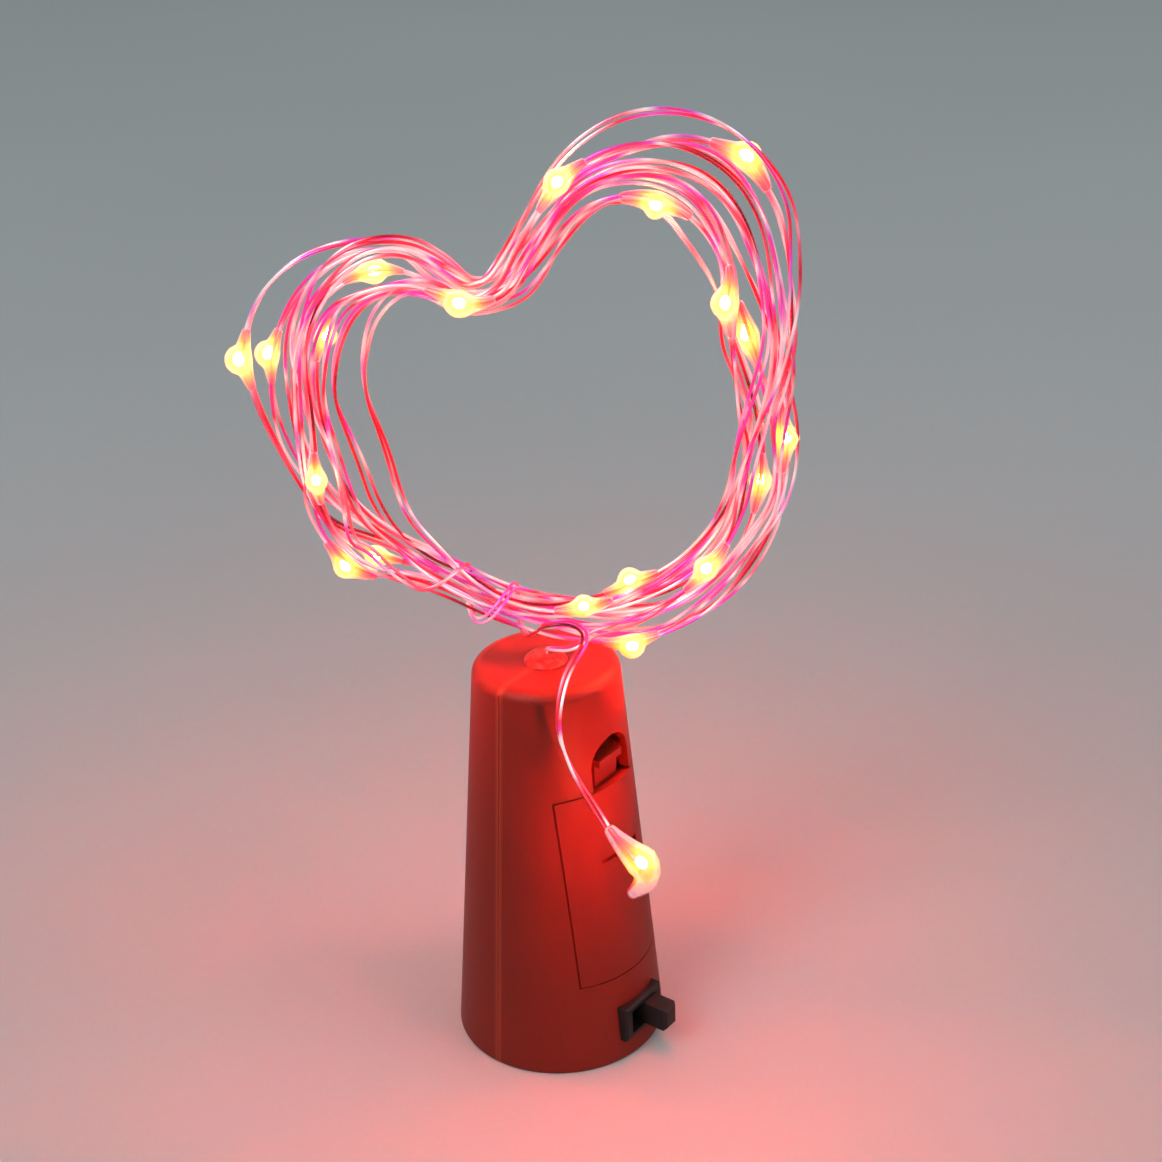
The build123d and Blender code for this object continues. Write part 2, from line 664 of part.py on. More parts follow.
def glue_plug(feed):
    """Blob of glue that seals the exit round the wire and stands a little proud."""
    foot = top_room_roof - GLUE_DEPTH
    stem = Pos(0, 0, (foot + BODY_HEIGHT) / 2) * Cylinder(EXIT_RADIUS, BODY_HEIGHT - foot)
    edge = (GLUE_RADIUS, 0, BODY_HEIGHT)
    shoulder = (GLUE_RADIUS * GLUE_SHOULDER_SHARE, 0, BODY_HEIGHT + GLUE_RISE * GLUE_SHOULDER_RISE_SHARE)
    crown = (GLUE_RADIUS * GLUE_CROWN_SHARE, 0, glue_top)
    rim = ThreePointArc(edge, shoulder, crown)
    sides = Polyline(crown, (0, 0, glue_top), (0, 0, BODY_HEIGHT), edge)
    cap = revolve(make_face(Curve() + [rim, sides]), axis=Axis.Z)
    return stem + cap - feed


def heart_stations():
    """The guide's stations, once round from the heart's foot by its left side."""
    dip = []
    for angle, twist in DIP_ANGLES_AND_TWISTS_DEG:
        lean = math.radians(angle)
        dip.append((DIP_X + DIP_RADIUS * math.sin(lean), DIP_RISE - DIP_RADIUS * math.cos(lean),
                    DIP_HALF_WIDTH, DIP_HALF_DEPTH, 0.0, 0.0, twist))
    return HEART_FOOT + HEART_LEFT + tuple(dip) + HEART_RIGHT


STATIONS = heart_stations()


def guide(turn):
    """Values of the closed guide and their slope, on a uniform cubic B-spline."""
    mark = (turn % 1.0) * len(STATIONS)
    first = math.floor(mark)
    f = mark - first
    weights = ((1 - f) ** 3 / 6, (3 * f ** 3 - 6 * f ** 2 + 4) / 6,
               (1 + 3 * f + 3 * f ** 2 - 3 * f ** 3) / 6, f ** 3 / 6)
    slopes = (-(1 - f) ** 2 / 2, (3 * f ** 2 - 4 * f) / 2, (1 + 2 * f - 3 * f ** 2) / 2, f ** 2 / 2)
    near = [STATIONS[(first + k) % len(STATIONS)] for k in (-1, 0, 1, 2)]
    values = [sum(w * s[i] for w, s in zip(weights, near)) for i in range(len(near[0]))]
    slope = [sum(w * s[i] for w, s in zip(slopes, near)) for i in (0, 1)]
    return values, slope


def standing_off(lean):
    """How much of the loose loop's reach a turn at this lean takes, 0 to 1."""
    return max(0.0, (lean - LOOP_EDGE_SHARE) / (1 - LOOP_EDGE_SHARE)) ** LOOP_POWER


def on_bundle(turn, angle, grow):
    """Point on the bundle's skin at an angle, 0 outwards, a quarter turn forwards."""
    (x, rise, across, deep, out, inward, twist), (dx, dz) = guide(turn)
    length = math.hypot(dx, dz)
    angle += math.radians(twist)
    lean = math.cos(angle)
    u = (across + grow) * lean + out * standing_off(lean) - inward * standing_off(-lean)
    w = (deep + grow) * math.sin(angle)
    return Vector(x - u * dz / length, -w, BODY_HEIGHT + rise + u * dx / length)


def slot_angle(turn):
    return math.radians(FIRST_TURN_DEG) + 2 * math.pi * turn / HEART_TURNS


def smooth(share):
    share = min(1.0, max(0.0, share))
    return share * share * (3 - 2 * share)


def heart_place(turn):
    """The wire at a turn: its slot on the winding, then the wraps round the foot."""
    if turn >= COIL_END:
        return on_bundle(turn, slot_angle(turn), 0)
    lift = smooth((COIL_END - turn) / (COIL_END - TIE_START))
    share = max(0.0, (TIE_START - turn) / (TIE_START - TIE_END))
    ease = TIE_EASE_TURNS / TIE_TURNS
    wound = share - ease * (1 - math.exp(-share / ease)) * (1 - share)
    grow = (TIE_RADIUS - HEART_FOOT[0][2]) * lift
    return on_bundle(turn, slot_angle(turn) + 2 * math.pi * TIE_TURNS * wound, grow)


def heart_marks(per_station, per_tie_turn):
    """Marks from the winding's start on the right, turn by turn to the wraps' end."""
    last = HEART_TURNS - 1 + COIL_START
    step = 1 / (len(STATIONS) * per_station)
    marks = []
    mark = last
    while mark > COIL_END + step / 2:
        marks.append(mark)
        mark -= step
    lifts = 2 * per_station
    for i in range(lifts):
        marks.append(COIL_END + (TIE_START - COIL_END) * i / lifts)
    wraps = TIE_TURNS * per_tie_turn
    for i in range(wraps + 1):
        marks.append(TIE_START + (TIE_END - TIE_START) * i / wraps)
    return marks


def resin_drop():
    """Resin drop along Z: full in the middle, drawn out to its two ends."""
    foot = (BEAD_END_RADIUS, 0, -BEAD_HALF_LENGTH)
    head = (BEAD_END_RADIUS, 0, BEAD_HALF_LENGTH)
    bulge = ThreePointArc(foot, (BEAD_RADIUS, 0, 0), head)
    back = Polyline(head, (0, 0, BEAD_HALF_LENGTH), (0, 0, -BEAD_HALF_LENGTH), foot)
    return revolve(make_face(Curve() + [bulge, back]), axis=Axis.Z)


def lamp(centre, along, outwards, wires):
    """A resin drop on the wire, cut free of every wire, and the chip inside it."""
    seat = Plane(origin=centre, x_dir=outwards, z_dir=along)
    drop = seat * (Pos(BEAD_OFFSET, 0, 0) * resin_drop())
    chip = seat * (Pos(wire_radius + CHIP_HEIGHT / 2, 0, 0) * Box(CHIP_HEIGHT, CHIP_SIZE, CHIP_SIZE))
    for wire in wires:
        drop -= wire
        chip -= wire
    drop -= chip
    return largest(drop), largest(chip)


def largest(shape):
    """The one body of a cut shape, without crumbs."""
    return shape.solids().sort_by(SortBy.VOLUME)[-1]


def place_in_casing(shape):
    """Turn a piece of the casing so that its door faces as in the photo."""
    return Rot(0, 0, FACE_TURN_DEG) * shape


def write(name, shape):
    solids = shape.solids()
    body = solids[0] if len(solids) == 1 else Compound(children=list(solids))
    body.label = name
    export_step(body, "parts/" + name + ".step")


def casing_pieces():
    """Every piece in and of the stopper, in the casing's own turn."""
    body = casing()
    feed = tube_along("feed_wire", feed_route(), wire_radius)
    pieces = {
        "front_shell": front_shell(body),
        "rear_shell": rear_shell(body),
        "battery_door": battery_door(),
        "positive_contact": positive_contact(),
        "negative_spring": negative_spring(),
        "circuit_board": circuit_board(),
        "resistor": resistor(),
        "switch_can": switch_can(),
        "switch_bezel": switch_bezel(),
        "switch_knob": switch_knob(),
        "switch_terminals": Compound(children=pins(0)),
        "positive_lead": tube_along("positive_lead", positive_route(), INNER_LEAD_RADIUS),
        "feed_wire": feed,
        "glue_plug": glue_plug(feed),
    }
    for i in range(CELL_COUNT):
        pieces["button_cell_" + str(i + 1)] = button_cell(i)
    return pieces


def above_casing(points):
    return [Vector(x, y, BODY_HEIGHT + z) for x, y, z in points]


def lamp_spots(tail_route):
    """Centre, wire's heading and outward side of every lamp, the tail's last."""
    spots = []
    for turn in LAMP_TURN_SHARES:
        spot = heart_place(turn)
        along = heart_place(turn - NUDGE) - heart_place(turn + NUDGE)
        (x, rise, *_), _ = guide(turn)
        spots.append((spot, along.normalized(), spot - Vector(x, 0, BODY_HEIGHT + rise)))
    before, last, after = tail_route[-4:-1]
    spots.append((last, (after - before).normalized(), last * 2 - before - after))
    return spots


def string_pieces():
    """The string of lights: its three stretches of wire, its drops and chips."""
    print("wire_heart")
    marks = heart_marks(1, BIARCS_PER_TIE_TURN)
    heart, start, start_way, end, end_way = wound_tube(heart_place, marks, wire_radius, WIRE_DIAMETER)
    fine = heart_marks(MEASURE_STEPS, MEASURE_STEPS * BIARCS_PER_TIE_TURN)
    print("  least gap", round(least_gap(heart_place, fine, 4 * DIP_RADIUS, wire_radius), 2))

    exit_point = Vector(0, 0, glue_top)
    lead_route = [exit_point, exit_point + Vector(0, 0, WIRE_DIAMETER)] + above_casing(LEAD_POINTS)
    lead_route += [start + start_way * WIRE_DIAMETER * 2, start]
    tail_route = [end, end + end_way * WIRE_DIAMETER] + above_casing(TAIL_POINTS)
    wires = {
        "wire_lead": tube_along("wire_lead", lead_route, wire_radius),
        "wire_heart": heart,
        "wire_tail": tube_along("wire_tail", tail_route, wire_radius),
    }

    pieces = dict(wires)
    chips = []
    for i, (spot, along, outwards) in enumerate(lamp_spots(tail_route)):
        outwards = (outwards - along * outwards.dot(along)).normalized()
        bead, chip = lamp(spot, along, outwards, wires.values())
        pieces["led_bead_" + str(i + 1).zfill(2)] = bead
        chips.append(chip)
    pieces["led_chips"] = Compound(children=chips)
    return pieces


os.makedirs("parts", exist_ok=True)
for name, shape in casing_pieces().items():
    write(name, place_in_casing(shape))
for name, shape in string_pieces().items():
    write(name, shape)
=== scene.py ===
import math

import bpy
from mathutils import Matrix, Vector


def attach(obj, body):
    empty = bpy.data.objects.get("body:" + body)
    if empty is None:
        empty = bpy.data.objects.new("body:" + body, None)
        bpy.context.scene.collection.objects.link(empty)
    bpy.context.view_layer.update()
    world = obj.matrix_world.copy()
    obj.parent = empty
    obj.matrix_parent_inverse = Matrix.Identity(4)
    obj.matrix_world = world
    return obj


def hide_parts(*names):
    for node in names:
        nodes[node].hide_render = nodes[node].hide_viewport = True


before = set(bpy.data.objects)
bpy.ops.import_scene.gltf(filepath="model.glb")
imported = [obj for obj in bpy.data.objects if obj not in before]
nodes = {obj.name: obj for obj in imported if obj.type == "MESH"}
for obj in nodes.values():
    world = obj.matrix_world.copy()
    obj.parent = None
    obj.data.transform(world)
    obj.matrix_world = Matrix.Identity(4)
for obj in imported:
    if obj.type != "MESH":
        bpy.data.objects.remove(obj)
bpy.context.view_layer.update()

MM = 0.001

# Camera, fitted to the photograph
PHOTO_SIZE = 1162
FOCAL_PX = 2000.0
SENSOR_MM = 36.0
CAMERA_TARGET = Vector((3.983, 0.0, 53.88)) * MM
CAMERA_DISTANCE = 204.2 * MM
CAMERA_ELEVATION_DEG = 25.8
CAMERA_ROLL_DEG = -2.13
CLIP_NEAR = 5 * MM
CLIP_FAR = 20000 * MM

elevation = math.radians(CAMERA_ELEVATION_DEG)
view_way = Vector((0, math.cos(elevation), -math.sin(elevation)))
camera_place = CAMERA_TARGET - view_way * CAMERA_DISTANCE


def make_camera():
    """Camera at the photograph's place, looking along +Y and down."""
    right = Vector((1, 0, 0))
    up = right.cross(view_way)
    roll = math.radians(CAMERA_ROLL_DEG)
    side = math.cos(roll) * right + math.sin(roll) * up
    top = -math.sin(roll) * right + math.cos(roll) * up
    data = bpy.data.cameras.new("photo_camera")
    data.sensor_width = SENSOR_MM
    data.lens = SENSOR_MM * FOCAL_PX / PHOTO_SIZE
    data.clip_start = CLIP_NEAR
    data.clip_end = CLIP_FAR
    camera = bpy.data.objects.new("photo_camera", data)
    turn = Matrix((side, top, -view_way)).transposed().to_4x4()
    camera.matrix_world = Matrix.Translation(camera_place) @ turn
    bpy.context.scene.collection.objects.link(camera)
    bpy.context.scene.camera = camera


make_camera()

# The string of lights, wound as in the solids: lengths and places are in millimetres
BODY_HEIGHT = 45.0
WIRE_DIAMETER = 0.65
HEART_TURNS = 12
FIRST_TURN_DEG = 60.0
COIL_START = 0.965
COIL_END = 0.105
TIE_START = 0.066
TIE_END = 0.004
TIE_TURNS = 2
TIE_RADIUS = 2.35
TIE_EASE_SHARE = 0.5
POINTS_PER_TURN = 48
POINTS_BEFORE_TIE = 4
POINTS_PER_WRAP = 16
LEAD_IN_STEP = 0.001
LEAD_IN_DIAMETERS = (3, 1)
LEAD_OUT_DIAMETERS = 2
ROUTE_RESOLUTION = 5

# X, height above the casing, half width, half depth, loose loop out and in, twist in degrees
STATIONS = (
    (0.1, 4.8, 2.0, 2.1, 0.0, 0.0, 0.0),
    (-7.4, 7.7, 1.9, 2.1, 0.0, 0.0, 0.0),
    (-15.1, 12.0, 2.6, 2.3, 0.0, 1.4, 20.0),
    (-20.8, 18.4, 3.2, 2.4, 0.5, 2.4, 40.0),
    (-23.6, 27.0, 3.2, 2.4, 1.8, 2.8, 60.0),
    (-22.3, 36.3, 3.2, 2.4, 2.9, 2.6, 60.0),
    (-18.3, 41.4, 2.8, 2.3, 1.8, 1.8, 50.0),
    (-12.8, 43.3, 2.3, 2.2, 0.0, 0.3, 30.0),
    (-9.2, 41.8, 2.2, 2.2, 0.0, 0.0, 10.0),
    (-6.476, 40.195, 2.2, 2.25, 0.0, 0.0, 0.0),
    (-4.886, 39.901, 2.2, 2.25, 0.0, 0.0, 0.0),
    (-3.286, 40.140, 2.2, 2.25, 0.0, 0.0, 0.0),
    (-1.851, 40.887, 2.2, 2.25, 0.0, 0.0, -10.0),
    (-0.738, 42.060, 2.2, 2.25, 0.0, 0.0, -20.0),
    (1.3, 45.2, 2.2, 2.2, 0.0, 0.0, -30.0),
    (4.5, 50.2, 2.3, 2.3, 0.6, 0.0, -40.0),
    (10.9, 52.2, 2.8, 2.4, 2.2, 0.5, -50.0),
    (17.6, 50.5, 3.8, 2.5, 1.4, 1.5, -50.0),
    (21.3, 44.7, 4.2, 2.4, 0.7, 1.2, -50.0),
    (22.8, 37.0, 3.0, 2.4, 0.9, 0.6, -40.0),
    (23.0, 28.8, 2.7, 2.4, 0.6, 0.6, 0.0),
    (23.0, 21.5, 2.6, 2.4, 0.2, 0.0, 40.0),
    (20.7, 12.9, 3.0, 2.4, 0.0, 0.0, 60.0),
    (15.6, 6.7, 3.4, 2.4, 0.0, 0.0, 60.0),
    (7.8, 4.2, 3.0, 2.3, 0.0, 0.0, 30.0),
)
LEAD_POINTS = ((0.0, 0.0, 0.7), (0.0, 0.0, 1.35), (1.1, -1.2, 1.75), (2.9, -2.75, 2.5))
TAIL_POINTS = (
    (-0.3, -4.4, 6.1),
    (2.2, -4.9, 6.9),
    (4.1, -5.0, 6.0),
    (4.2, -5.2, 4.4),
    (3.2, -6.0, 3.3),
    (2.0, -7.6, 1.9),
    (1.2, -9.5, -0.8),
    (1.2, -10.0, -3.5),
    (1.9, -10.6, -5.8),
    (2.9, -11.7, -7.7),
    (4.7, -14.0, -9.8),
    (6.1, -16.2, -11.4),
    (7.6, -18.0, -12.5),
    (9.2, -18.9, -14.0),
    (8.9, -18.7, -15.6),
    (7.8, -18.0, -17.2),
)
LAST_LAMP_AT = TAIL_POINTS[-3]
LAST_LAMP_BACK = 0.9 * MM
LAMP_TURNS = (
    0.595, 1.365, 1.980, 2.950, 3.750, 4.200, 4.650, 5.265, 5.855, 6.190,
    6.775, 7.085, 7.830, 8.185, 9.095, 9.955, 10.690, 11.140, 11.900,
)

# Loose windings: eases and reaches are in turns of the heart
LOOP_EDGE_SHARE = 0.5
LOOP_POWER = 6
INNER_LOOP_SLACK_SHARE = 0.15
OUTER_LOOP_SLACK_SHARE = 0.2
COIL_EASE = 0.1
STRAIGHT_AT_LAMP = 0.02
LOOSE_EASE = 0.07
SLACK_EASE = 0.2
DRAWN_IN_SHARE = 0.42
TIED_SHARE = 0.45
TIED_AT = 0.045
TIED_REACH = 0.035
TIED_EASE = 0.07

# Waves of a winding's angle and of its drawing in: waves per turn, start, reach
SWAY_WAVES = ((1.37, 0.6, 0.30), (2.9, 2.0, 0.22), (8.3, 0.4, 0.07))
DRAWN_IN_WAVES = ((0.57, 1.0, 0.22), (2.3, 2.5, 0.10), (6.1, 0.2, 0.04))

# Two of the innermost loops at the heart's left, each by its winding and its angle in degrees
KEPT_LOOPS = ((2, 180.0), (3, 204.0))
KEPT_FROM = 0.01
KEPT_TO = 0.33
KEPT_EASE_IN = 0.06
KEPT_EASE_OUT = 0.07

# Lamps at the bundle's back, numbered as their nodes: some stand a little further forward,
# and the windings before all of them part
FORWARD_DEG_BY_LAMP = {10: 28, 12: 25, 13: 28}
FORWARD_REACH = 0.14
PARTED_LAMPS = (8, 9, 10, 11, 12, 13)
PARTED_ROOM = 1.35 * MM
PARTED_BREADTH = 3.2 * MM
PARTED_STRAIGHT = 1.0 * MM
PARTED_REACH = 6.8 * MM
HEADING_STEP = 0.01

# The heart's right side stays inside the solids' box
RIGHT_EASE_FROM = 25.0 * MM
RIGHT_EASE_ROOM = 0.75 * MM


def guide(turn):
    """Values of the heart's closed guide and their slope, on a cubic B-spline."""
    mark = (turn % 1.0) * len(STATIONS)
    first = math.floor(mark)
    f = mark - first
    weights = ((1 - f) ** 3 / 6, (3 * f ** 3 - 6 * f ** 2 + 4) / 6,
               (1 + 3 * f + 3 * f ** 2 - 3 * f ** 3) / 6, f ** 3 / 6)
    slopes = (-(1 - f) ** 2 / 2, (3 * f ** 2 - 4 * f) / 2, (1 + 2 * f - 3 * f ** 2) / 2, f ** 2 / 2)
    near = [STATIONS[(first + k) % len(STATIONS)] for k in (-1, 0, 1, 2)]
    values = [sum(w * s[i] for w, s in zip(weights, near)) for i in range(len(near[0]))]
    slope = [sum(w * s[i] for w, s in zip(slopes, near)) for i in (0, 1)]
    return values, slope


def smooth(share):
    """A share from 0 to 1, eased at both ends."""
    share = min(1.0, max(0.0, share))
    return share * share * (3 - 2 * share)


def on_bundle(turn, angle, grow, fill=1.0, slack=0.0, sway=0.0):
    """Point on the bundle at an angle: 0 faces outwards, a quarter turn forwards."""
    (x, height, across, deep, out, inward, twist), (dx, dz) = guide(turn)
    length = math.hypot(dx, dz)
    angle += math.radians(twist)
    lean = math.cos(angle)
    off = max(0.0, (lean - LOOP_EDGE_SHARE) / (1 - LOOP_EDGE_SHARE)) ** LOOP_POWER
    off_in = max(0.0, (-lean - LOOP_EDGE_SHARE) / (1 - LOOP_EDGE_SHARE)) ** LOOP_POWER
    angle += sway * (1 - max(off, off_in))
    lean = math.cos(angle)
    fill += (1 - fill) * max(off, off_in)
    inward *= 1 + INNER_LOOP_SLACK_SHARE * slack
    out *= 1 + OUTER_LOOP_SLACK_SHARE * slack
    u = (across + grow) * lean * fill + out * off - inward * off_in
    w = (deep + grow) * math.sin(angle) * fill
    return Vector((x - u * dz / length, -w, BODY_HEIGHT + height + u * dx / length)) * MM


def slot_angle(turn):
    """Each winding's own place round the bundle."""
    return math.radians(FIRST_TURN_DEG) + 2 * math.pi * turn / HEART_TURNS


def away_from_lamps(turn, ease):
    """0 at a lamp, so that the wire runs through its drop, and 1 well away from all."""
    least = min(abs(turn - lamp) for lamp in LAMP_TURNS)
    return smooth((least - STRAIGHT_AT_LAMP) / ease)


def forward_turn(turn):
    """Angle that brings a few lamps forward, to where the photograph shows them."""
    gap, number = min((abs(lamp - turn), number) for number, lamp in enumerate(LAMP_TURNS, 1))
    degrees = FORWARD_DEG_BY_LAMP.get(number, 0)
    return math.radians(degrees) * (1 - smooth(gap / FORWARD_REACH))


def kept_loop(turn, angle):
    """Angle of the loops at the heart's left that don't twist past each other."""
    for winding, kept_deg in KEPT_LOOPS:
        share = smooth((turn - winding - KEPT_FROM) / KEPT_EASE_IN)
        share *= smooth((winding + KEPT_TO - turn) / KEPT_EASE_OUT)
        twist = guide(turn)[0][-1]
        angle += (math.radians(kept_deg) - angle - math.radians(twist)) * share
    return angle


def tied(turn):
    """1 where the ties draw the bundle together, and 0 well away from them."""
    gap = abs((turn - TIED_AT + 0.5) % 1.0 - 0.5)
    return 1 - smooth((gap - TIED_REACH) / TIED_EASE)


def waves(turn, shapes, middle=0.0):
    """A value that swings about its middle by a few waves, each with its own length."""
    for per_turn, start, reach in shapes:
        middle += reach * math.sin(2 * math.pi * turn * per_turn + start)
    return middle


def coil_place(turn):
    """A winding, wandering a little within the bundle as loose wire does."""
    last = HEART_TURNS - 1 + COIL_START
    inner = smooth((turn - COIL_END) / COIL_EASE) * smooth((last - turn) / COIL_EASE)
    loose = inner * away_from_lamps(turn, LOOSE_EASE)
    slack = inner * away_from_lamps(turn, SLACK_EASE)
    drawn_in = waves(turn, DRAWN_IN_WAVES, DRAWN_IN_SHARE)
    drawn_in += (1 - TIED_SHARE - drawn_in) * tied(turn)
    sway = waves(turn, SWAY_WAVES) * loose + forward_turn(turn)
    angle = kept_loop(turn, slot_angle(turn))
    return on_bundle(turn, angle, 0, 1 - max(0.0, drawn_in) * loose, slack, sway)


def tie_place(turn):
    """The wire's last stretch on the heart, wrapped round the whole bundle."""
    lift = smooth((COIL_END - turn) / (COIL_END - TIE_START))
    share = max(0.0, (TIE_START - turn) / (TIE_START - TIE_END))
    ease = TIE_EASE_SHARE / TIE_TURNS
    wound = share - ease * (1 - math.exp(-share / ease)) * (1 - share)
    grow = (TIE_RADIUS - STATIONS[0][2]) * lift
    return on_bundle(turn, slot_angle(turn) + 2 * math.pi * TIE_TURNS * wound, grow)


def unparted_place(turn):
    """The wire at a turn, before the windings part."""
    return coil_place(turn) if turn >= COIL_END else tie_place(turn)


def parted_lamp(number):
    """A lamp at the bundle's back: its turn and place, and the view's directions there."""
    turn = LAMP_TURNS[number - 1]
    place = coil_place(turn)
    towards = (camera_place - place).normalized()
    heading = coil_place(turn + HEADING_STEP) - coil_place(turn - HEADING_STEP)
    return turn, place, towards, towards.cross(heading).normalized()


parted_lamps = [parted_lamp(number) for number in PARTED_LAMPS]


def pushed_aside(place, turn, lamp):
    """Shift of the wire beside a parted lamp, none where it doesn't pass in front."""
    lamp_turn, lamp_place, towards, side = lamp
    winding = round(turn - lamp_turn)
    if not winding or lamp_turn + winding >= HEART_TURNS:
        return Vector()
    beside = unparted_place(lamp_turn + winding) - lamp_place
    if beside.dot(towards) < 0 or abs(beside.dot(side)) > PARTED_BREADTH:
        return Vector()
    off = place - lamp_place
    from_lamp = abs(off.dot(towards.cross(side)))
    room = PARTED_ROOM * (1 - smooth((from_lamp - PARTED_STRAIGHT) / PARTED_REACH))
    sign = math.copysign(1, beside.dot(side))
    across = max(0.0, off.dot(side) * sign)
    return side * sign * (room * (1 - min(1.0, across / PARTED_BREADTH)))


def heart_place(turn):
    """The wire at a turn, where the windings before a lamp part and let it be seen."""
    place = unparted_place(turn)
    if turn < COIL_END:
        return place
    moved = place.copy()
    for lamp in parted_lamps:
        moved += pushed_aside(place, turn, lamp)
    beyond = max(0.0, moved.x - RIGHT_EASE_FROM)
    moved.x -= beyond - beyond / (1 + beyond / RIGHT_EASE_ROOM)
    return moved


def above_casing(points):
    """Places in metres, from millimetres measured from the casing's top."""
    return [Vector((x, y, BODY_HEIGHT + z)) * MM for x, y, z in points]


def route_points():
    """Every point of the string's route, from the casing's top to the tail's end."""
    points = above_casing(LEAD_POINTS)
    first = HEART_TURNS - 1 + COIL_START
    start = heart_place(first)
    way = (start - heart_place(first - LEAD_IN_STEP)).normalized() * WIRE_DIAMETER * MM
    points += [start + way * diameters for diameters in LEAD_IN_DIAMETERS]
    turns = round((first - COIL_END) * POINTS_PER_TURN)
    points += [heart_place(first + (COIL_END - first) * i / turns) for i in range(turns + 1)]
    points += [heart_place(COIL_END + (TIE_START - COIL_END) * i / POINTS_BEFORE_TIE)
               for i in range(1, POINTS_BEFORE_TIE)]
    wraps = TIE_TURNS * POINTS_PER_WRAP
    points += [heart_place(TIE_START + (TIE_END - TIE_START) * i / wraps) for i in range(wraps + 1)]
    heading = (points[-1] - points[-2]).normalized()
    points.append(points[-1] + heading * WIRE_DIAMETER * LEAD_OUT_DIAMETERS * MM)
    return points + above_casing(TAIL_POINTS)


def smooth_line(points):
    """Points read along the NURBS curve that the route's points control."""
    data = bpy.data.curves.new("string_route", "CURVE")
    data.dimensions = "3D"
    data.resolution_u = ROUTE_RESOLUTION
    spline = data.splines.new("NURBS")
    spline.points.add(len(points) - 1)
    for point, at in zip(spline.points, points):
        point.co = (*at, 1)
    spline.order_u = 3
    spline.use_endpoint_u = True
    route = bpy.data.objects.new("string_route", data)
    bpy.context.scene.collection.objects.link(route)
    bpy.context.view_layer.update()
    mesh = bpy.data.meshes.new_from_object(route)
    points_read = [v.co.copy() for v in mesh.vertices]
    bpy.data.objects.remove(route)
    bpy.data.curves.remove(data)
    bpy.data.meshes.remove(mesh)
    return points_read


def carried_frames(points):
    """Heading and a steady side direction at every point of a line."""
    ways = []
    for i in range(len(points)):
        ways.append((points[min(i + 1, len(points) - 1)] - points[max(i - 1, 0)]).normalized())
    side = ways[0].orthogonal().normalized()
    sides = []
    for i, way in enumerate(ways):
        if i:
            side = ways[i - 1].rotation_difference(way) @ side
        side = (side - way * side.dot(way)).normalized()
        sides.append(side)
    return ways, sides


def new_object(name, verts, faces, attributes=()):
    """A smooth mesh object in the scene, with named numbers kept on its points."""
    mesh = bpy.data.meshes.new(name)
    mesh.from_pydata(verts, [], faces)
    mesh.validate()
    for label, values in attributes:
        layer = mesh.attributes.new(label, "FLOAT", "POINT")
        layer.data.foreach_set("value", values)
    mesh.shade_smooth()
    mesh.update()
    thing = bpy.data.objects.new(name, mesh)
    bpy.context.scene.collection.objects.link(thing)
    return thing


# The string's two fine wires
STRAND_RADIUS = 0.165 * MM
STRAND_SIDES = 7
PAIR_HALF_GAP = 0.18 * MM
PAIR_SPREAD = 0.42 * MM
PAIR_CLOSED_AT_LAMP = 3.5 * MM
PAIR_OPENING = 6 * MM
PAIR_OPENING_AT_EXIT = 14 * MM
SPREAD_SHORT_WAVE = 23 * MM
SPREAD_LONG_WAVE = 61 * MM
SPREAD_LONG_START = 1.3
PAIR_TWIST_PITCH = 48.0 * MM
TWIST_WAVE = 37 * MM
TWIST_WAVE_REACH = 1.1
# A painted highlight: a short near-white stretch on the tail's wire, at this place above the casing, and
# its half length
PAINTED_HIGHLIGHT_AT = (1.25, -10.1, -4.2)
PAINTED_HIGHLIGHT_LENGTH = 0.65 * MM


def pair_spread(at, lamp_places):
    """Distance of either wire from the pair's middle, at a length along the string."""
    lamp_gap = min(abs(at - s) for s in lamp_places)
    free = smooth((lamp_gap - PAIR_CLOSED_AT_LAMP) / PAIR_OPENING) * smooth(at / PAIR_OPENING_AT_EXIT)
    long_wave = math.sin(at / SPREAD_LONG_WAVE + SPREAD_LONG_START)
    parting = 0.5 + 0.5 * math.sin(at / SPREAD_SHORT_WAVE) * long_wave
    return PAIR_HALF_GAP + PAIR_SPREAD * free * parting ** 2


def pair_turn(at):
    """Angle of the first wire round the pair's middle, at a length along the string."""
    return 2 * math.pi * at / PAIR_TWIST_PITCH + TWIST_WAVE_REACH * math.sin(at / TWIST_WAVE)


def ring_faces(base, rings, sides, turned=False):
    """Faces from each ring of points to the next, turned over where the rings run backwards."""
    faces = []
    for i in range(rings - 1):
        for k in range(sides):
            a = base + i * sides + k
            b = base + i * sides + (k + 1) % sides
            faces.append((a, a + sides, b + sides, b) if turned else (a, b, b + sides, a + sides))
    return faces


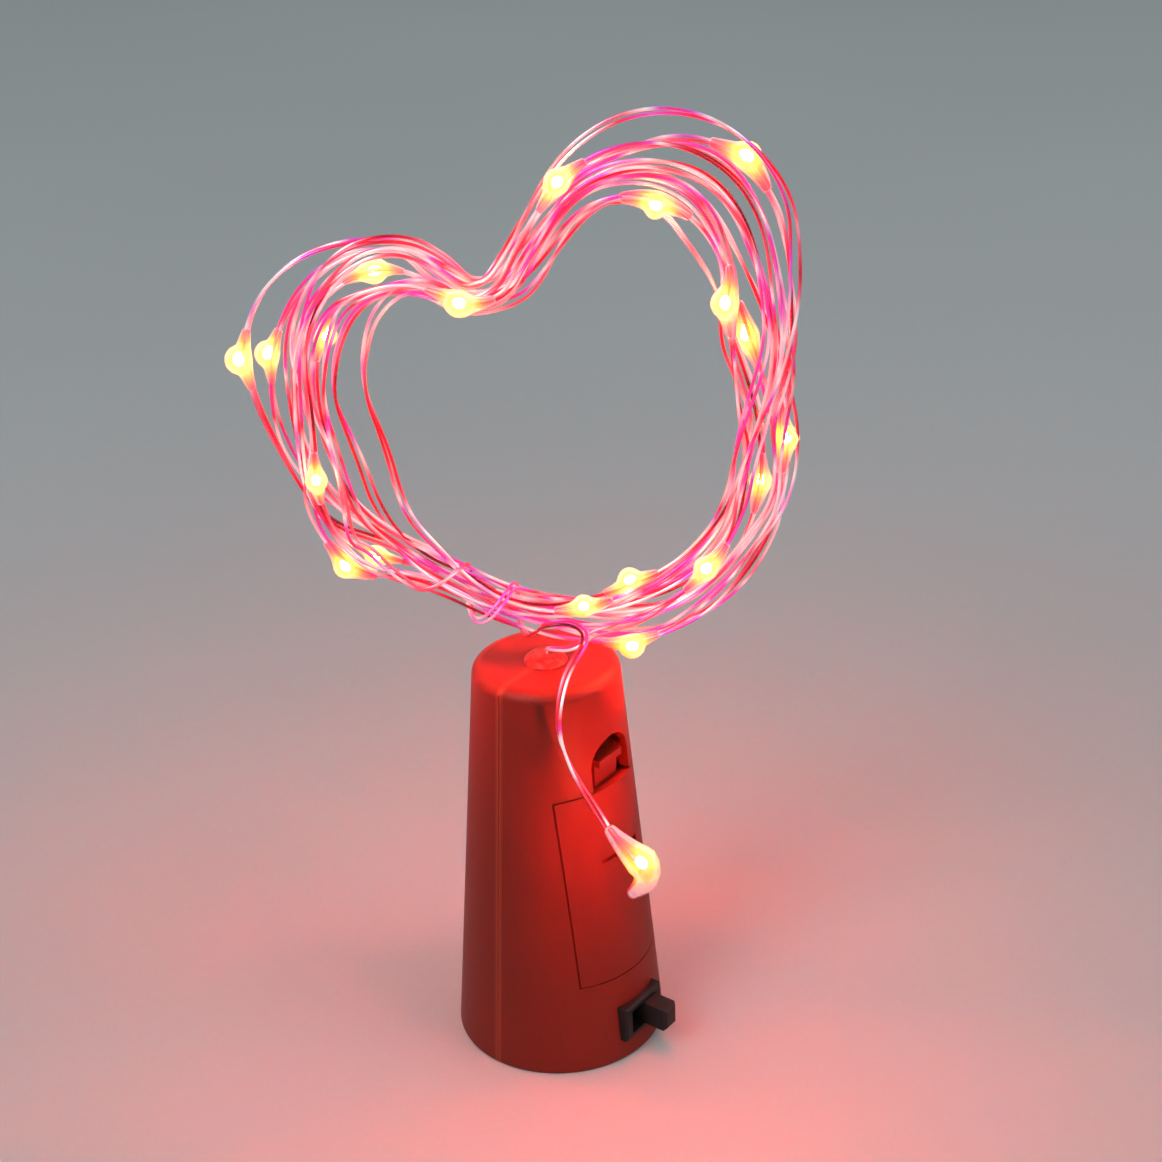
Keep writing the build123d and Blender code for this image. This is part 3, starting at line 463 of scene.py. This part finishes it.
def strands(lamp_places, painted_highlight_spot):
    """Two fine wires side by side along the route, slowly twisting and parting."""
    ways, sides = carried_frames(line)
    verts, faces, lengths, which = [], [], [], []
    for strand in (0, 1):
        base = len(verts)
        for i, at in enumerate(line):
            spread = pair_spread(along[i], lamp_places)
            turn = pair_turn(along[i]) + math.pi * strand
            across = ways[i].cross(sides[i])
            centre = at + (sides[i] * math.cos(turn) + across * math.sin(turn)) * spread
            for k in range(STRAND_SIDES):
                a = 2 * math.pi * k / STRAND_SIDES
                verts.append(centre + (sides[i] * math.cos(a) + across * math.sin(a)) * STRAND_RADIUS)
                lengths.append(along[i])
                which.append(float(strand))
        faces += ring_faces(base, len(line), STRAND_SIDES)
        faces.append(tuple(base + k for k in range(STRAND_SIDES))[::-1])
        last = base + (len(line) - 1) * STRAND_SIDES
        faces.append(tuple(last + k for k in range(STRAND_SIDES)))
    # Share of the painted highlight, by length along the string
    painted_highlight = [max(0.0, 1 - (abs(v - painted_highlight_spot) / PAINTED_HIGHLIGHT_LENGTH) ** 4) for v in lengths]
    return new_object("string_wires", verts, faces, (("along", lengths), ("strand", which), ("painted_highlight", painted_highlight)))


line = smooth_line(route_points())
along = [0.0]
for a, b in zip(line, line[1:]):
    along.append(along[-1] + (b - a).length)

# Where to look for a lamp, as shares of the line's points
HEART_FROM_SHARE = 0.005
HEART_SHARE = 0.955
LAMP_WINDOW_SHARE = 0.06
TAIL_FROM_SHARE = 0.97


def nearest_index(place, low, high):
    """Index of the line's point nearest to a place, within shares of its length."""
    first, last = int(low * len(line)), int(high * len(line))
    return min(range(first, last), key=lambda i: (line[i] - place).length_squared)


def lamp_index(turn):
    """Index of the line's point where a lamp on the heart sits."""
    coil = HEART_TURNS - 1 + COIL_START
    guess = HEART_FROM_SHARE + HEART_SHARE * ((coil - turn) / (coil - COIL_END))
    low, high = max(0.0, guess - LAMP_WINDOW_SHARE), min(1.0, guess + LAMP_WINDOW_SHARE)
    return nearest_index(heart_place(turn), low, high)


def tail_length(place):
    """Length along the string at a place on its tail."""
    return along[nearest_index(above_casing([place])[0], TAIL_FROM_SHARE, 1.0)]


lamp_lengths = [along[lamp_index(turn)] for turn in LAMP_TURNS]
lamp_lengths.append(tail_length(LAST_LAMP_AT) - LAST_LAMP_BACK)

wires = strands(lamp_lengths, tail_length(PAINTED_HIGHLIGHT_AT))
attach(wires, "casing")
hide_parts("wire_lead", "wire_heart", "wire_tail")

# Resin drops: a ball over the chip with a skirt drawn out each way along the wire
BALL_RADIUS = 1.27 * MM
BALL_OFFSET = 0.62 * MM
SKIRT_REACH = 3.3 * MM
SKIRT_END = 0.42 * MM
SKIRT_MIDDLE = 1.28 * MM
SKIRT_POWER = 1.25
SKIRT_TOP_SHARE = 1.15
SKIRT_SIDE_SHARE = 0.95
SKIRT_BELOW_SHARE = 0.7
SKIRT_CLOSING_FROM_SHARE = 0.93
SKIRT_CLOSING_SHARE = 0.07
BLEND_FROM_SHARE = 0.1
TOP_BLEND = 0.5 * MM
SIDE_BLEND = 0.45 * MM
LEAST_BLEND = 0.001 * MM
PINCH_SHARE = 0.18
GLOW_FULL = 1.15 * MM
GLOW_FADE = 1.9 * MM
DROP_RINGS = 28
DROP_SIDES = 24
CORE_RADIUS = 0.70 * MM
CORE_LONG_SHARE = 1.15
CORE_FLAT_SHARE = 0.9
CORE_RINGS = 10
CORE_SIDES = 14
DROP_HEADING_STEP = 0.1 * MM
LEAST_STEP = 1e-6 * MM

# How the drops differ from each other, by waves over their numbers
DROP_SIZE_SPREAD, DROP_SIZE_WAVE = 0.09, 2.1
DROP_SKIRT_SPREAD, DROP_SKIRT_WAVE = 0.12, 3.3
DROP_LEAN_SPREAD, DROP_LEAN_WAVE = 0.35, 1.7
LAST_DROP_SIZE = 1.12
LAST_DROP_SKIRT = 1.35
LAST_DROP_BEND = 2 * MM


def soft_most(a, b, blend):
    """The larger of two sizes, eased into each other over a blend length."""
    h = max(0.0, blend - abs(a - b)) / blend
    return max(a, b) + h * h * blend / 4


def on_line(at):
    """Place on the wire at a length along it."""
    at = min(max(at, 0.0), along[-1])
    lo, hi = 0, len(along) - 1
    while hi - lo > 1:
        mid = (lo + hi) // 2
        if along[mid] <= at:
            lo = mid
        else:
            hi = mid
    share = (at - along[lo]) / max(along[hi] - along[lo], LEAST_STEP)
    return line[lo].lerp(line[hi], share)


def way_on_line(at, step):
    """Heading of the wire at a length along it."""
    return (on_line(at + step) - on_line(at - step)).normalized()


def drop_section(t, size, lean, skirts):
    """A drop's length from its middle, height, half width and depth, at a share of its reach."""
    x = t * (SKIRT_REACH * size * skirts)
    skirt_end = SKIRT_END * skirts
    skirt_middle = SKIRT_MIDDLE * size * skirts
    ball = BALL_RADIUS * size
    tip = 1 - abs(t)
    closing = max(0.0, (abs(t) - SKIRT_CLOSING_FROM_SHARE) / SKIRT_CLOSING_SHARE)
    end_ease = math.sqrt(max(0.0, 1 - closing ** 2))
    skirt = (skirt_end + (skirt_middle - skirt_end) * tip ** (SKIRT_POWER + lean * t)) * end_ease
    half_ball = math.sqrt(max(0.0, ball * ball - x * x))
    ball_top = BALL_OFFSET * size + half_ball if half_ball > 0 else 0.0
    blended = tip > BLEND_FROM_SHARE
    top = soft_most(skirt * SKIRT_TOP_SHARE, ball_top, TOP_BLEND * blended + LEAST_BLEND)
    wide = soft_most(skirt * SKIRT_SIDE_SHARE, half_ball, SIDE_BLEND * blended + LEAST_BLEND)
    low = skirt_end * end_ease * (1 + SKIRT_BELOW_SHARE * tip)
    return x, top, wide, low


def drop_shape(name, at, outwards, size, lean, skirts):
    """Skin of one resin drop round the wire, with its glow worked out per point."""
    chip = on_line(at) + outwards * (BALL_OFFSET * size)
    verts, glow = [], []
    for i in range(DROP_RINGS + 1):
        x, top, wide, low = drop_section(-math.cos(math.pi * i / DROP_RINGS), size, lean, skirts)
        place = on_line(at + x)
        way = way_on_line(at + x, DROP_HEADING_STEP)
        out = (outwards - way * outwards.dot(way)).normalized()
        side = way.cross(out)
        for k in range(DROP_SIDES):
            a = 2 * math.pi * k / DROP_SIDES
            c, s = math.cos(a), math.sin(a)
            height = (top - low) / 2 + (top + low) / 2 * c
            pinch = 1 - PINCH_SHARE * (0.5 - 0.5 * c)
            point = place + out * height + side * wide * s * pinch
            verts.append(point)
            past = max(0.0, (point - chip).length - GLOW_FULL * size)
            glow.append(max(0.0, 1 - past / (GLOW_FADE * size)))
    faces = ring_faces(0, DROP_RINGS + 1, DROP_SIDES, turned=True)
    faces.append(tuple(range(DROP_SIDES)))
    faces.append(tuple(DROP_RINGS * DROP_SIDES + k for k in range(DROP_SIDES))[::-1])
    return new_object(name, verts, faces, (("glow", glow),))


core_verts, core_faces = [], []


def add_core(centre, outwards, way, radius):
    """The lit heart of a lamp: a small flattened ball round its chip."""
    side = way.cross(outwards).normalized()
    base = len(core_verts)
    for i in range(1, CORE_RINGS):
        a = math.pi * i / CORE_RINGS
        for k in range(CORE_SIDES):
            b = 2 * math.pi * k / CORE_SIDES
            ball = Vector((math.sin(a) * math.cos(b), math.sin(a) * math.sin(b), math.cos(a)))
            off = way * ball.x * CORE_LONG_SHARE + side * ball.y + outwards * ball.z * CORE_FLAT_SHARE
            core_verts.append(centre + off * radius)
    poles = len(core_verts)
    pole = outwards * radius * CORE_FLAT_SHARE
    core_verts.extend((centre + pole, centre - pole))
    core_faces.extend(ring_faces(base, CORE_RINGS - 1, CORE_SIDES, turned=True))
    last = base + (CORE_RINGS - 2) * CORE_SIDES
    for k in range(CORE_SIDES):
        after = (k + 1) % CORE_SIDES
        core_faces.append((poles, base + k, base + after))
        core_faces.append((poles + 1, last + after, last + k))


def swing(number, spread, wave):
    """A drop's own difference from the others."""
    return spread * math.sin(number * wave)


def drop_kind(number, at, place):
    """Way out of the heart, size and skirt of a drop. The last one hangs on the tail."""
    if number == len(LAMP_TURNS):
        bend = place * 2 - on_line(at - LAST_DROP_BEND) - on_line(at + LAST_DROP_BEND)
        return bend, LAST_DROP_SIZE, LAST_DROP_SKIRT
    (x, height, *_), _ = guide(LAMP_TURNS[number])
    outwards = place - Vector((x, 0, BODY_HEIGHT + height)) * MM
    size = 1.0 + swing(number, DROP_SIZE_SPREAD, DROP_SIZE_WAVE)
    return outwards, size, 1.0 + swing(number, DROP_SKIRT_SPREAD, DROP_SKIRT_WAVE)


drops = []
for number, at in enumerate(lamp_lengths):
    label = str(number + 1).zfill(2)
    place = on_line(at)
    way = way_on_line(at, 2 * DROP_HEADING_STEP)
    outwards, size, skirts = drop_kind(number, at, place)
    outwards = (outwards - way * outwards.dot(way)).normalized()
    lean = swing(number, DROP_LEAN_SPREAD, DROP_LEAN_WAVE)
    drop = drop_shape("resin_drop_" + label, at, outwards, size, lean, skirts)
    add_core(place + outwards * BALL_OFFSET * size, outwards, way, CORE_RADIUS * size)
    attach(drop, "casing")
    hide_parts("led_bead_" + label)
    drop.visible_shadow = False
    drops.append(drop)
cores = new_object("lit_cores", core_verts, core_faces)
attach(cores, "casing")
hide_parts("led_chips")


# Materials
FACE_TURN_DEG = -38.0
# A painted highlight along the casing's parting line: its half width, where it has faded, and its share of
# the lighter colour
SEAM_HALF_WIDTH = 0.12 * MM
SEAM_FADED_AT = 0.55 * MM
SEAM_HIGHLIGHT_SHARE = 0.32
PLASTIC_GRAIN_DEPTH = 0.05 * MM
METAL_GRAIN_DEPTH = 0.03 * MM
RESIN_RIPPLE_DEPTH = 0.1 * MM
GLUE_LUMP_DEPTH = 0.2 * MM
WIRE_PATCHES_PER_METRE = 26.0
STRAND_SHIFT = 3.7
CORE_GLOW = 1600.0


def material(name):
    """A new material with its node tree and its main shader."""
    stuff = bpy.data.materials.new(name)
    stuff.use_nodes = True
    tree = stuff.node_tree
    return stuff, tree, tree.nodes["Principled BSDF"]


def node(tree, kind, **values):
    """A new node: values whose names start with in_ are its inputs."""
    made = tree.nodes.new(kind)
    for key, value in values.items():
        if key.startswith("in_"):
            made.inputs[key[3:].replace("_", " ")].default_value = value
        else:
            setattr(made, key, value)
    return made


def ramp(tree, stops):
    """Colour ramp through a list of shares and colours."""
    made = tree.nodes.new("ShaderNodeValToRGB")
    elements = made.color_ramp.elements
    while len(elements) < len(stops):
        elements.new(0.5)
    for element, (at, colour) in zip(elements, stops):
        element.position = at
        element.color = (*colour, 1)
    return made


def rgb(red, green, blue):
    """Linear colour from the eight-bit values that are seen on a screen."""
    out = []
    for v in (red, green, blue):
        v /= 255
        out.append(v / 12.92 if v <= 0.04045 else ((v + 0.055) / 1.055) ** 2.4)
    return tuple(out)


def object_noise(tree, scale, detail=4.0, rough=0.5):
    """Noise that stays with the object."""
    place = tree.nodes.new("ShaderNodeTexCoord")
    noise = node(tree, "ShaderNodeTexNoise", in_Scale=scale, in_Detail=detail, in_Roughness=rough)
    tree.links.new(place.outputs["Object"], noise.inputs["Vector"])
    return noise


def add_bump(tree, shader, height, strength, distance):
    """Fine relief from a height socket."""
    bump = node(tree, "ShaderNodeBump", in_Strength=strength, in_Distance=distance)
    tree.links.new(height, bump.inputs["Height"])
    tree.links.new(bump.outputs["Normal"], shader.inputs["Normal"])


def blend_colours(tree, share, first, second):
    """Colour between a socket's and a plain one, by a share from another socket."""
    mix = tree.nodes.new("ShaderNodeMix")
    mix.data_type = "RGBA"
    factor, a, b = (mix.inputs[i] for i in (0, 6, 7))
    tree.links.new(share, factor)
    tree.links.new(first, a)
    b.default_value = (*second, 1)
    return mix.outputs[2]


def seam_highlight_share(tree):
    """Share of the painted highlight along the casing's parting line, fading over half a millimetre from
    it.
    """
    place = tree.nodes.new("ShaderNodeTexCoord")
    depth = node(tree, "ShaderNodeVectorMath", operation="DOT_PRODUCT")
    turn = math.radians(FACE_TURN_DEG)
    depth.inputs[1].default_value = (math.cos(turn), math.sin(turn), 0)
    tree.links.new(place.outputs["Object"], depth.inputs[0])
    off = node(tree, "ShaderNodeMath", operation="ABSOLUTE")
    tree.links.new(depth.outputs["Value"], off.inputs[0])
    share = node(tree, "ShaderNodeMapRange", in_From_Min=SEAM_HALF_WIDTH, in_From_Max=SEAM_FADED_AT,
                 in_To_Min=SEAM_HIGHLIGHT_SHARE, in_To_Max=0.0)
    tree.links.new(off.outputs[0], share.inputs["Value"])
    return share.outputs["Result"]


def plastic(name, dark, light, scale, roughness, bump_strength=0.15, bump_scale=900.0, seam_highlight=None):
    """Moulded plastic: faint clouding of its colour, a fine grain and, where given, a painted highlight
    along the parting line.
    """
    stuff, tree, shader = material(name)
    clouds = object_noise(tree, scale, 5.0, 0.6)
    colours = ramp(tree, ((0.3, dark), (0.7, light)))
    tree.links.new(clouds.outputs["Fac"], colours.inputs["Fac"])
    colour = colours.outputs["Color"]
    # Painted highlight: a lighter line along the casing's parting line
    if seam_highlight:
        colour = blend_colours(tree, seam_highlight_share(tree), colour, seam_highlight)
    tree.links.new(colour, shader.inputs["Base Color"])
    grain = object_noise(tree, bump_scale, 3.0, 0.6)
    add_bump(tree, shader, grain.outputs["Fac"], bump_strength, PLASTIC_GRAIN_DEPTH)
    shader.inputs["Specular IOR Level"].default_value = 0.22
    rough = node(tree, "ShaderNodeMapRange", in_From_Min=0.3, in_From_Max=0.7,
                 in_To_Min=roughness - 0.06, in_To_Max=roughness + 0.08)
    tree.links.new(clouds.outputs["Fac"], rough.inputs["Value"])
    tree.links.new(rough.outputs["Result"], shader.inputs["Roughness"])
    return stuff


def metal(name, colour, dull, roughness, scale=700.0):
    """Plated metal with a faint tarnish and a fine grain."""
    stuff, tree, shader = material(name)
    clouds = object_noise(tree, scale, 4.0, 0.6)
    colours = ramp(tree, ((0.35, dull), (0.65, colour)))
    tree.links.new(clouds.outputs["Fac"], colours.inputs["Fac"])
    tree.links.new(colours.outputs["Color"], shader.inputs["Base Color"])
    shader.inputs["Metallic"].default_value = 1.0
    shader.inputs["Roughness"].default_value = roughness
    add_bump(tree, shader, clouds.outputs["Fac"], 0.1, METAL_GRAIN_DEPTH)
    return stuff


def wire_material():
    """Enamelled copper wire with the lamps' light painted into its colour: pink, red and plum stretches,
    painted near-white highlights and a faint painted glow.
    """
    stuff, tree, shader = material("enamelled_wire_painted_light")
    length = node(tree, "ShaderNodeAttribute", attribute_name="along")
    strand = node(tree, "ShaderNodeAttribute", attribute_name="strand")
    shift = node(tree, "ShaderNodeMath", operation="MULTIPLY_ADD")
    shift.inputs[1].default_value = STRAND_SHIFT
    tree.links.new(strand.outputs["Fac"], shift.inputs[0])
    tree.links.new(length.outputs["Fac"], shift.inputs[2])
    noise = node(tree, "ShaderNodeTexNoise", noise_dimensions="1D", in_Scale=WIRE_PATCHES_PER_METRE,
                 in_Detail=3.0, in_Roughness=0.65)
    tree.links.new(shift.outputs[0], noise.inputs["W"])
    # Painted light: pink, red and plum stand for the lamps' red light on the wire, and the near-white stops
    # are painted highlights
    colours = ramp(tree, (
        (0.30, rgb(96, 6, 24)),
        (0.39, rgb(226, 30, 60)),
        (0.45, rgb(244, 106, 136)),
        (0.51, rgb(255, 236, 240)),
        (0.56, rgb(226, 78, 208)),
        (0.62, rgb(236, 46, 84)),
        (0.70, rgb(255, 240, 244)),
    ))
    tree.links.new(noise.outputs["Fac"], colours.inputs["Fac"])
    # The painted highlight on the tail turns the wire's colour near white
    painted_highlight = node(tree, "ShaderNodeAttribute", attribute_name="painted_highlight")
    seen = blend_colours(tree, painted_highlight.outputs["Fac"], colours.outputs["Color"], (1.0, 0.94, 0.96))
    tree.links.new(seen, shader.inputs["Base Color"])
    shader.inputs["Metallic"].default_value = 0.7
    shader.inputs["Roughness"].default_value = 0.22
    shader.inputs["Coat Weight"].default_value = 0.5
    shader.inputs["Coat Roughness"].default_value = 0.12
    # Painted glow: the wire gives off a little light in its own colour, though it is no lamp
    tree.links.new(seen, shader.inputs["Emission Color"])
    shader.inputs["Emission Strength"].default_value = 0.22
    return stuff


def resin_material():
    """Clear cured resin, lit from the chip inside it and fading along the skirts."""
    stuff, tree, shader = material("lit_resin")
    glow = node(tree, "ShaderNodeAttribute", attribute_name="glow")
    streaks = object_noise(tree, 800.0, 3.0, 0.6)
    mottled = node(tree, "ShaderNodeMath", operation="MULTIPLY_ADD")
    mottled.inputs[1].default_value = 0.45
    tree.links.new(streaks.outputs["Fac"], mottled.inputs[0])
    level = node(tree, "ShaderNodeMath", operation="SUBTRACT")
    level.inputs[1].default_value = 0.225
    tree.links.new(glow.outputs["Fac"], mottled.inputs[2])
    tree.links.new(mottled.outputs[0], level.inputs[0])
    colours = ramp(tree, (
        (0.0, (0.34, 0.035, 0.055)),
        (0.30, (0.85, 0.10, 0.07)),
        (0.55, (1.3, 0.25, 0.05)),
        (0.80, (2.2, 0.66, 0.08)),
        (1.0, (2.9, 1.15, 0.22)),
    ))
    tree.links.new(level.outputs[0], colours.inputs["Fac"])
    tree.links.new(colours.outputs["Color"], shader.inputs["Emission Color"])
    shader.inputs["Emission Strength"].default_value = 0.8
    # Painted light: the base colour turns from pink to yellow where the chip's glow is strongest
    painted_glow_tint = ramp(tree, ((0.0, rgb(255, 128, 138)), (1.0, rgb(255, 200, 120))))
    tree.links.new(glow.outputs["Fac"], painted_glow_tint.inputs["Fac"])
    tree.links.new(painted_glow_tint.outputs["Color"], shader.inputs["Base Color"])
    shader.inputs["Transmission Weight"].default_value = 0.9
    shader.inputs["Roughness"].default_value = 0.14
    shader.inputs["IOR"].default_value = 1.42
    ripples = object_noise(tree, 900.0, 2.0, 0.5)
    add_bump(tree, shader, ripples.outputs["Fac"], 0.12, RESIN_RIPPLE_DEPTH)
    return stuff


def core_material():
    """The chip's glare: past white on a screen, and red in what it lights."""
    stuff, tree, shader = material("lit_core")
    shade = object_noise(tree, 500.0, 2.0, 0.5)
    colours = ramp(tree, ((0.3, (1.0, 0.050, 0.020)), (0.7, (1.0, 0.058, 0.030))))
    tree.links.new(shade.outputs["Fac"], colours.inputs["Fac"])
    tree.links.new(colours.outputs["Color"], shader.inputs["Emission Color"])
    shader.inputs["Emission Strength"].default_value = CORE_GLOW
    shader.inputs["Base Color"].default_value = (1.0, 0.8, 0.5, 1)
    return stuff


def glue_material():
    """The lumpy blob of glue round the wire's exit, lit red like the casing."""
    stuff, tree, shader = material("amber_glue")
    clouds = object_noise(tree, 1100.0, 5.0, 0.65)
    colours = ramp(tree, ((0.35, rgb(92, 12, 10)), (0.5, rgb(142, 24, 18)), (0.68, rgb(196, 70, 52))))
    tree.links.new(clouds.outputs["Fac"], colours.inputs["Fac"])
    tree.links.new(colours.outputs["Color"], shader.inputs["Base Color"])
    shader.inputs["Roughness"].default_value = 0.4
    shader.inputs["Specular IOR Level"].default_value = 0.3
    add_bump(tree, shader, clouds.outputs["Fac"], 0.35, GLUE_LUMP_DEPTH)
    return stuff


def dress(things, stuff):
    """Give one material to each object, in place of what it has."""
    for thing in things:
        thing.data.materials.clear()
        thing.data.materials.append(stuff)


def dress_nodes(names, stuff):
    dress([nodes[name] for name in names], stuff)


# The casing, with a painted highlight along its parting line
shell_plastic = plastic("cork_brown_plastic", rgb(98, 20, 8), rgb(109, 24, 10), 60.0, 0.48,
                        seam_highlight=rgb(176, 74, 50))
dress_nodes(("front_shell", "rear_shell"), shell_plastic)
dress_nodes(("battery_door",), plastic("door_plastic", rgb(98, 20, 9), rgb(108, 24, 11), 65.0, 0.5))
dress_nodes(("switch_bezel", "switch_knob"),
            plastic("switch_black", rgb(14, 14, 15), rgb(24, 23, 24), 400.0, 0.5, 0.2, 2500.0))
dress_nodes(("glue_plug",), glue_material())
dress_nodes(("positive_lead",), plastic("lead_sleeve", rgb(150, 18, 14), rgb(175, 26, 20), 600.0, 0.4))
dress_nodes(("circuit_board",), plastic("board_mask", rgb(18, 74, 34), rgb(26, 96, 44), 900.0, 0.35))
dress_nodes(("resistor",), plastic("resistor_body", rgb(22, 22, 24), rgb(34, 33, 34), 1500.0, 0.45))
dress_nodes(("button_cell_1", "button_cell_2", "button_cell_3", "switch_can"),
            metal("cell_steel", rgb(205, 205, 200), rgb(172, 172, 168), 0.28))
dress_nodes(("negative_spring",), metal("spring_steel", rgb(188, 190, 192), rgb(150, 152, 154), 0.25))
dress_nodes(("positive_contact", "switch_terminals"),
            metal("plated_brass", rgb(222, 198, 132), rgb(186, 158, 96), 0.3))
dress_nodes(("feed_wire",), metal("inner_wire", rgb(206, 120, 92), rgb(168, 84, 64), 0.3, 500.0))
dress([wires], wire_material())
dress(drops, resin_material())
dress([cores], core_material())


# Floor and light, in metres and watts
FLOOR_RADIUS = 3.0
FLOOR_SIDES = 96
LIGHT_TARGET = Vector((0, 0, 0.05))
LIGHTS = (
    ("key", Vector((-0.5, -0.55, 0.75)), 0.5, 5.0),
    ("fill", Vector((0.7, -0.3, 0.45)), 0.6, 2.0),
)
SKY_COLOUR = (0.93, 0.97, 1.0, 1)
SKY_STRENGTH = 0.55


def make_floor():
    """A round plain floor, so that every side has the same background."""
    verts = [(0, 0, 0)]
    faces = []
    for i in range(FLOOR_SIDES):
        a = 2 * math.pi * i / FLOOR_SIDES
        verts.append((FLOOR_RADIUS * math.cos(a), FLOOR_RADIUS * math.sin(a), 0))
        faces.append((0, i + 1, (i + 1) % FLOOR_SIDES + 1))
    floor = new_object("studio_floor", verts, faces)
    stuff, tree, shader = material("studio_floor")
    paper = object_noise(tree, 3.0, 2.0, 0.5)
    colours = ramp(tree, ((0.3, rgb(146, 154, 155)), (0.7, rgb(152, 160, 161))))
    tree.links.new(paper.outputs["Fac"], colours.inputs["Fac"])
    tree.links.new(colours.outputs["Color"], shader.inputs["Base Color"])
    shader.inputs["Roughness"].default_value = 0.75
    dress([floor], stuff)


def make_light(name, place, size, watts):
    """A round soft light that faces the object."""
    data = bpy.data.lights.new(name, "AREA")
    data.shape = "DISK"
    data.size = size
    data.energy = watts
    light = bpy.data.objects.new(name, data)
    light.location = place
    light.rotation_euler = (LIGHT_TARGET - place).to_track_quat("-Z", "Y").to_euler()
    bpy.context.scene.collection.objects.link(light)


def make_sky():
    """An even pale surround."""
    world = bpy.data.worlds.new("studio")
    world.use_nodes = True
    background = world.node_tree.nodes["Background"]
    background.inputs["Color"].default_value = SKY_COLOUR
    background.inputs["Strength"].default_value = SKY_STRENGTH
    bpy.context.scene.world = world


make_floor()
for light_values in LIGHTS:
    make_light(*light_values)
make_sky()
bpy.context.scene.view_settings.view_transform = "Standard"
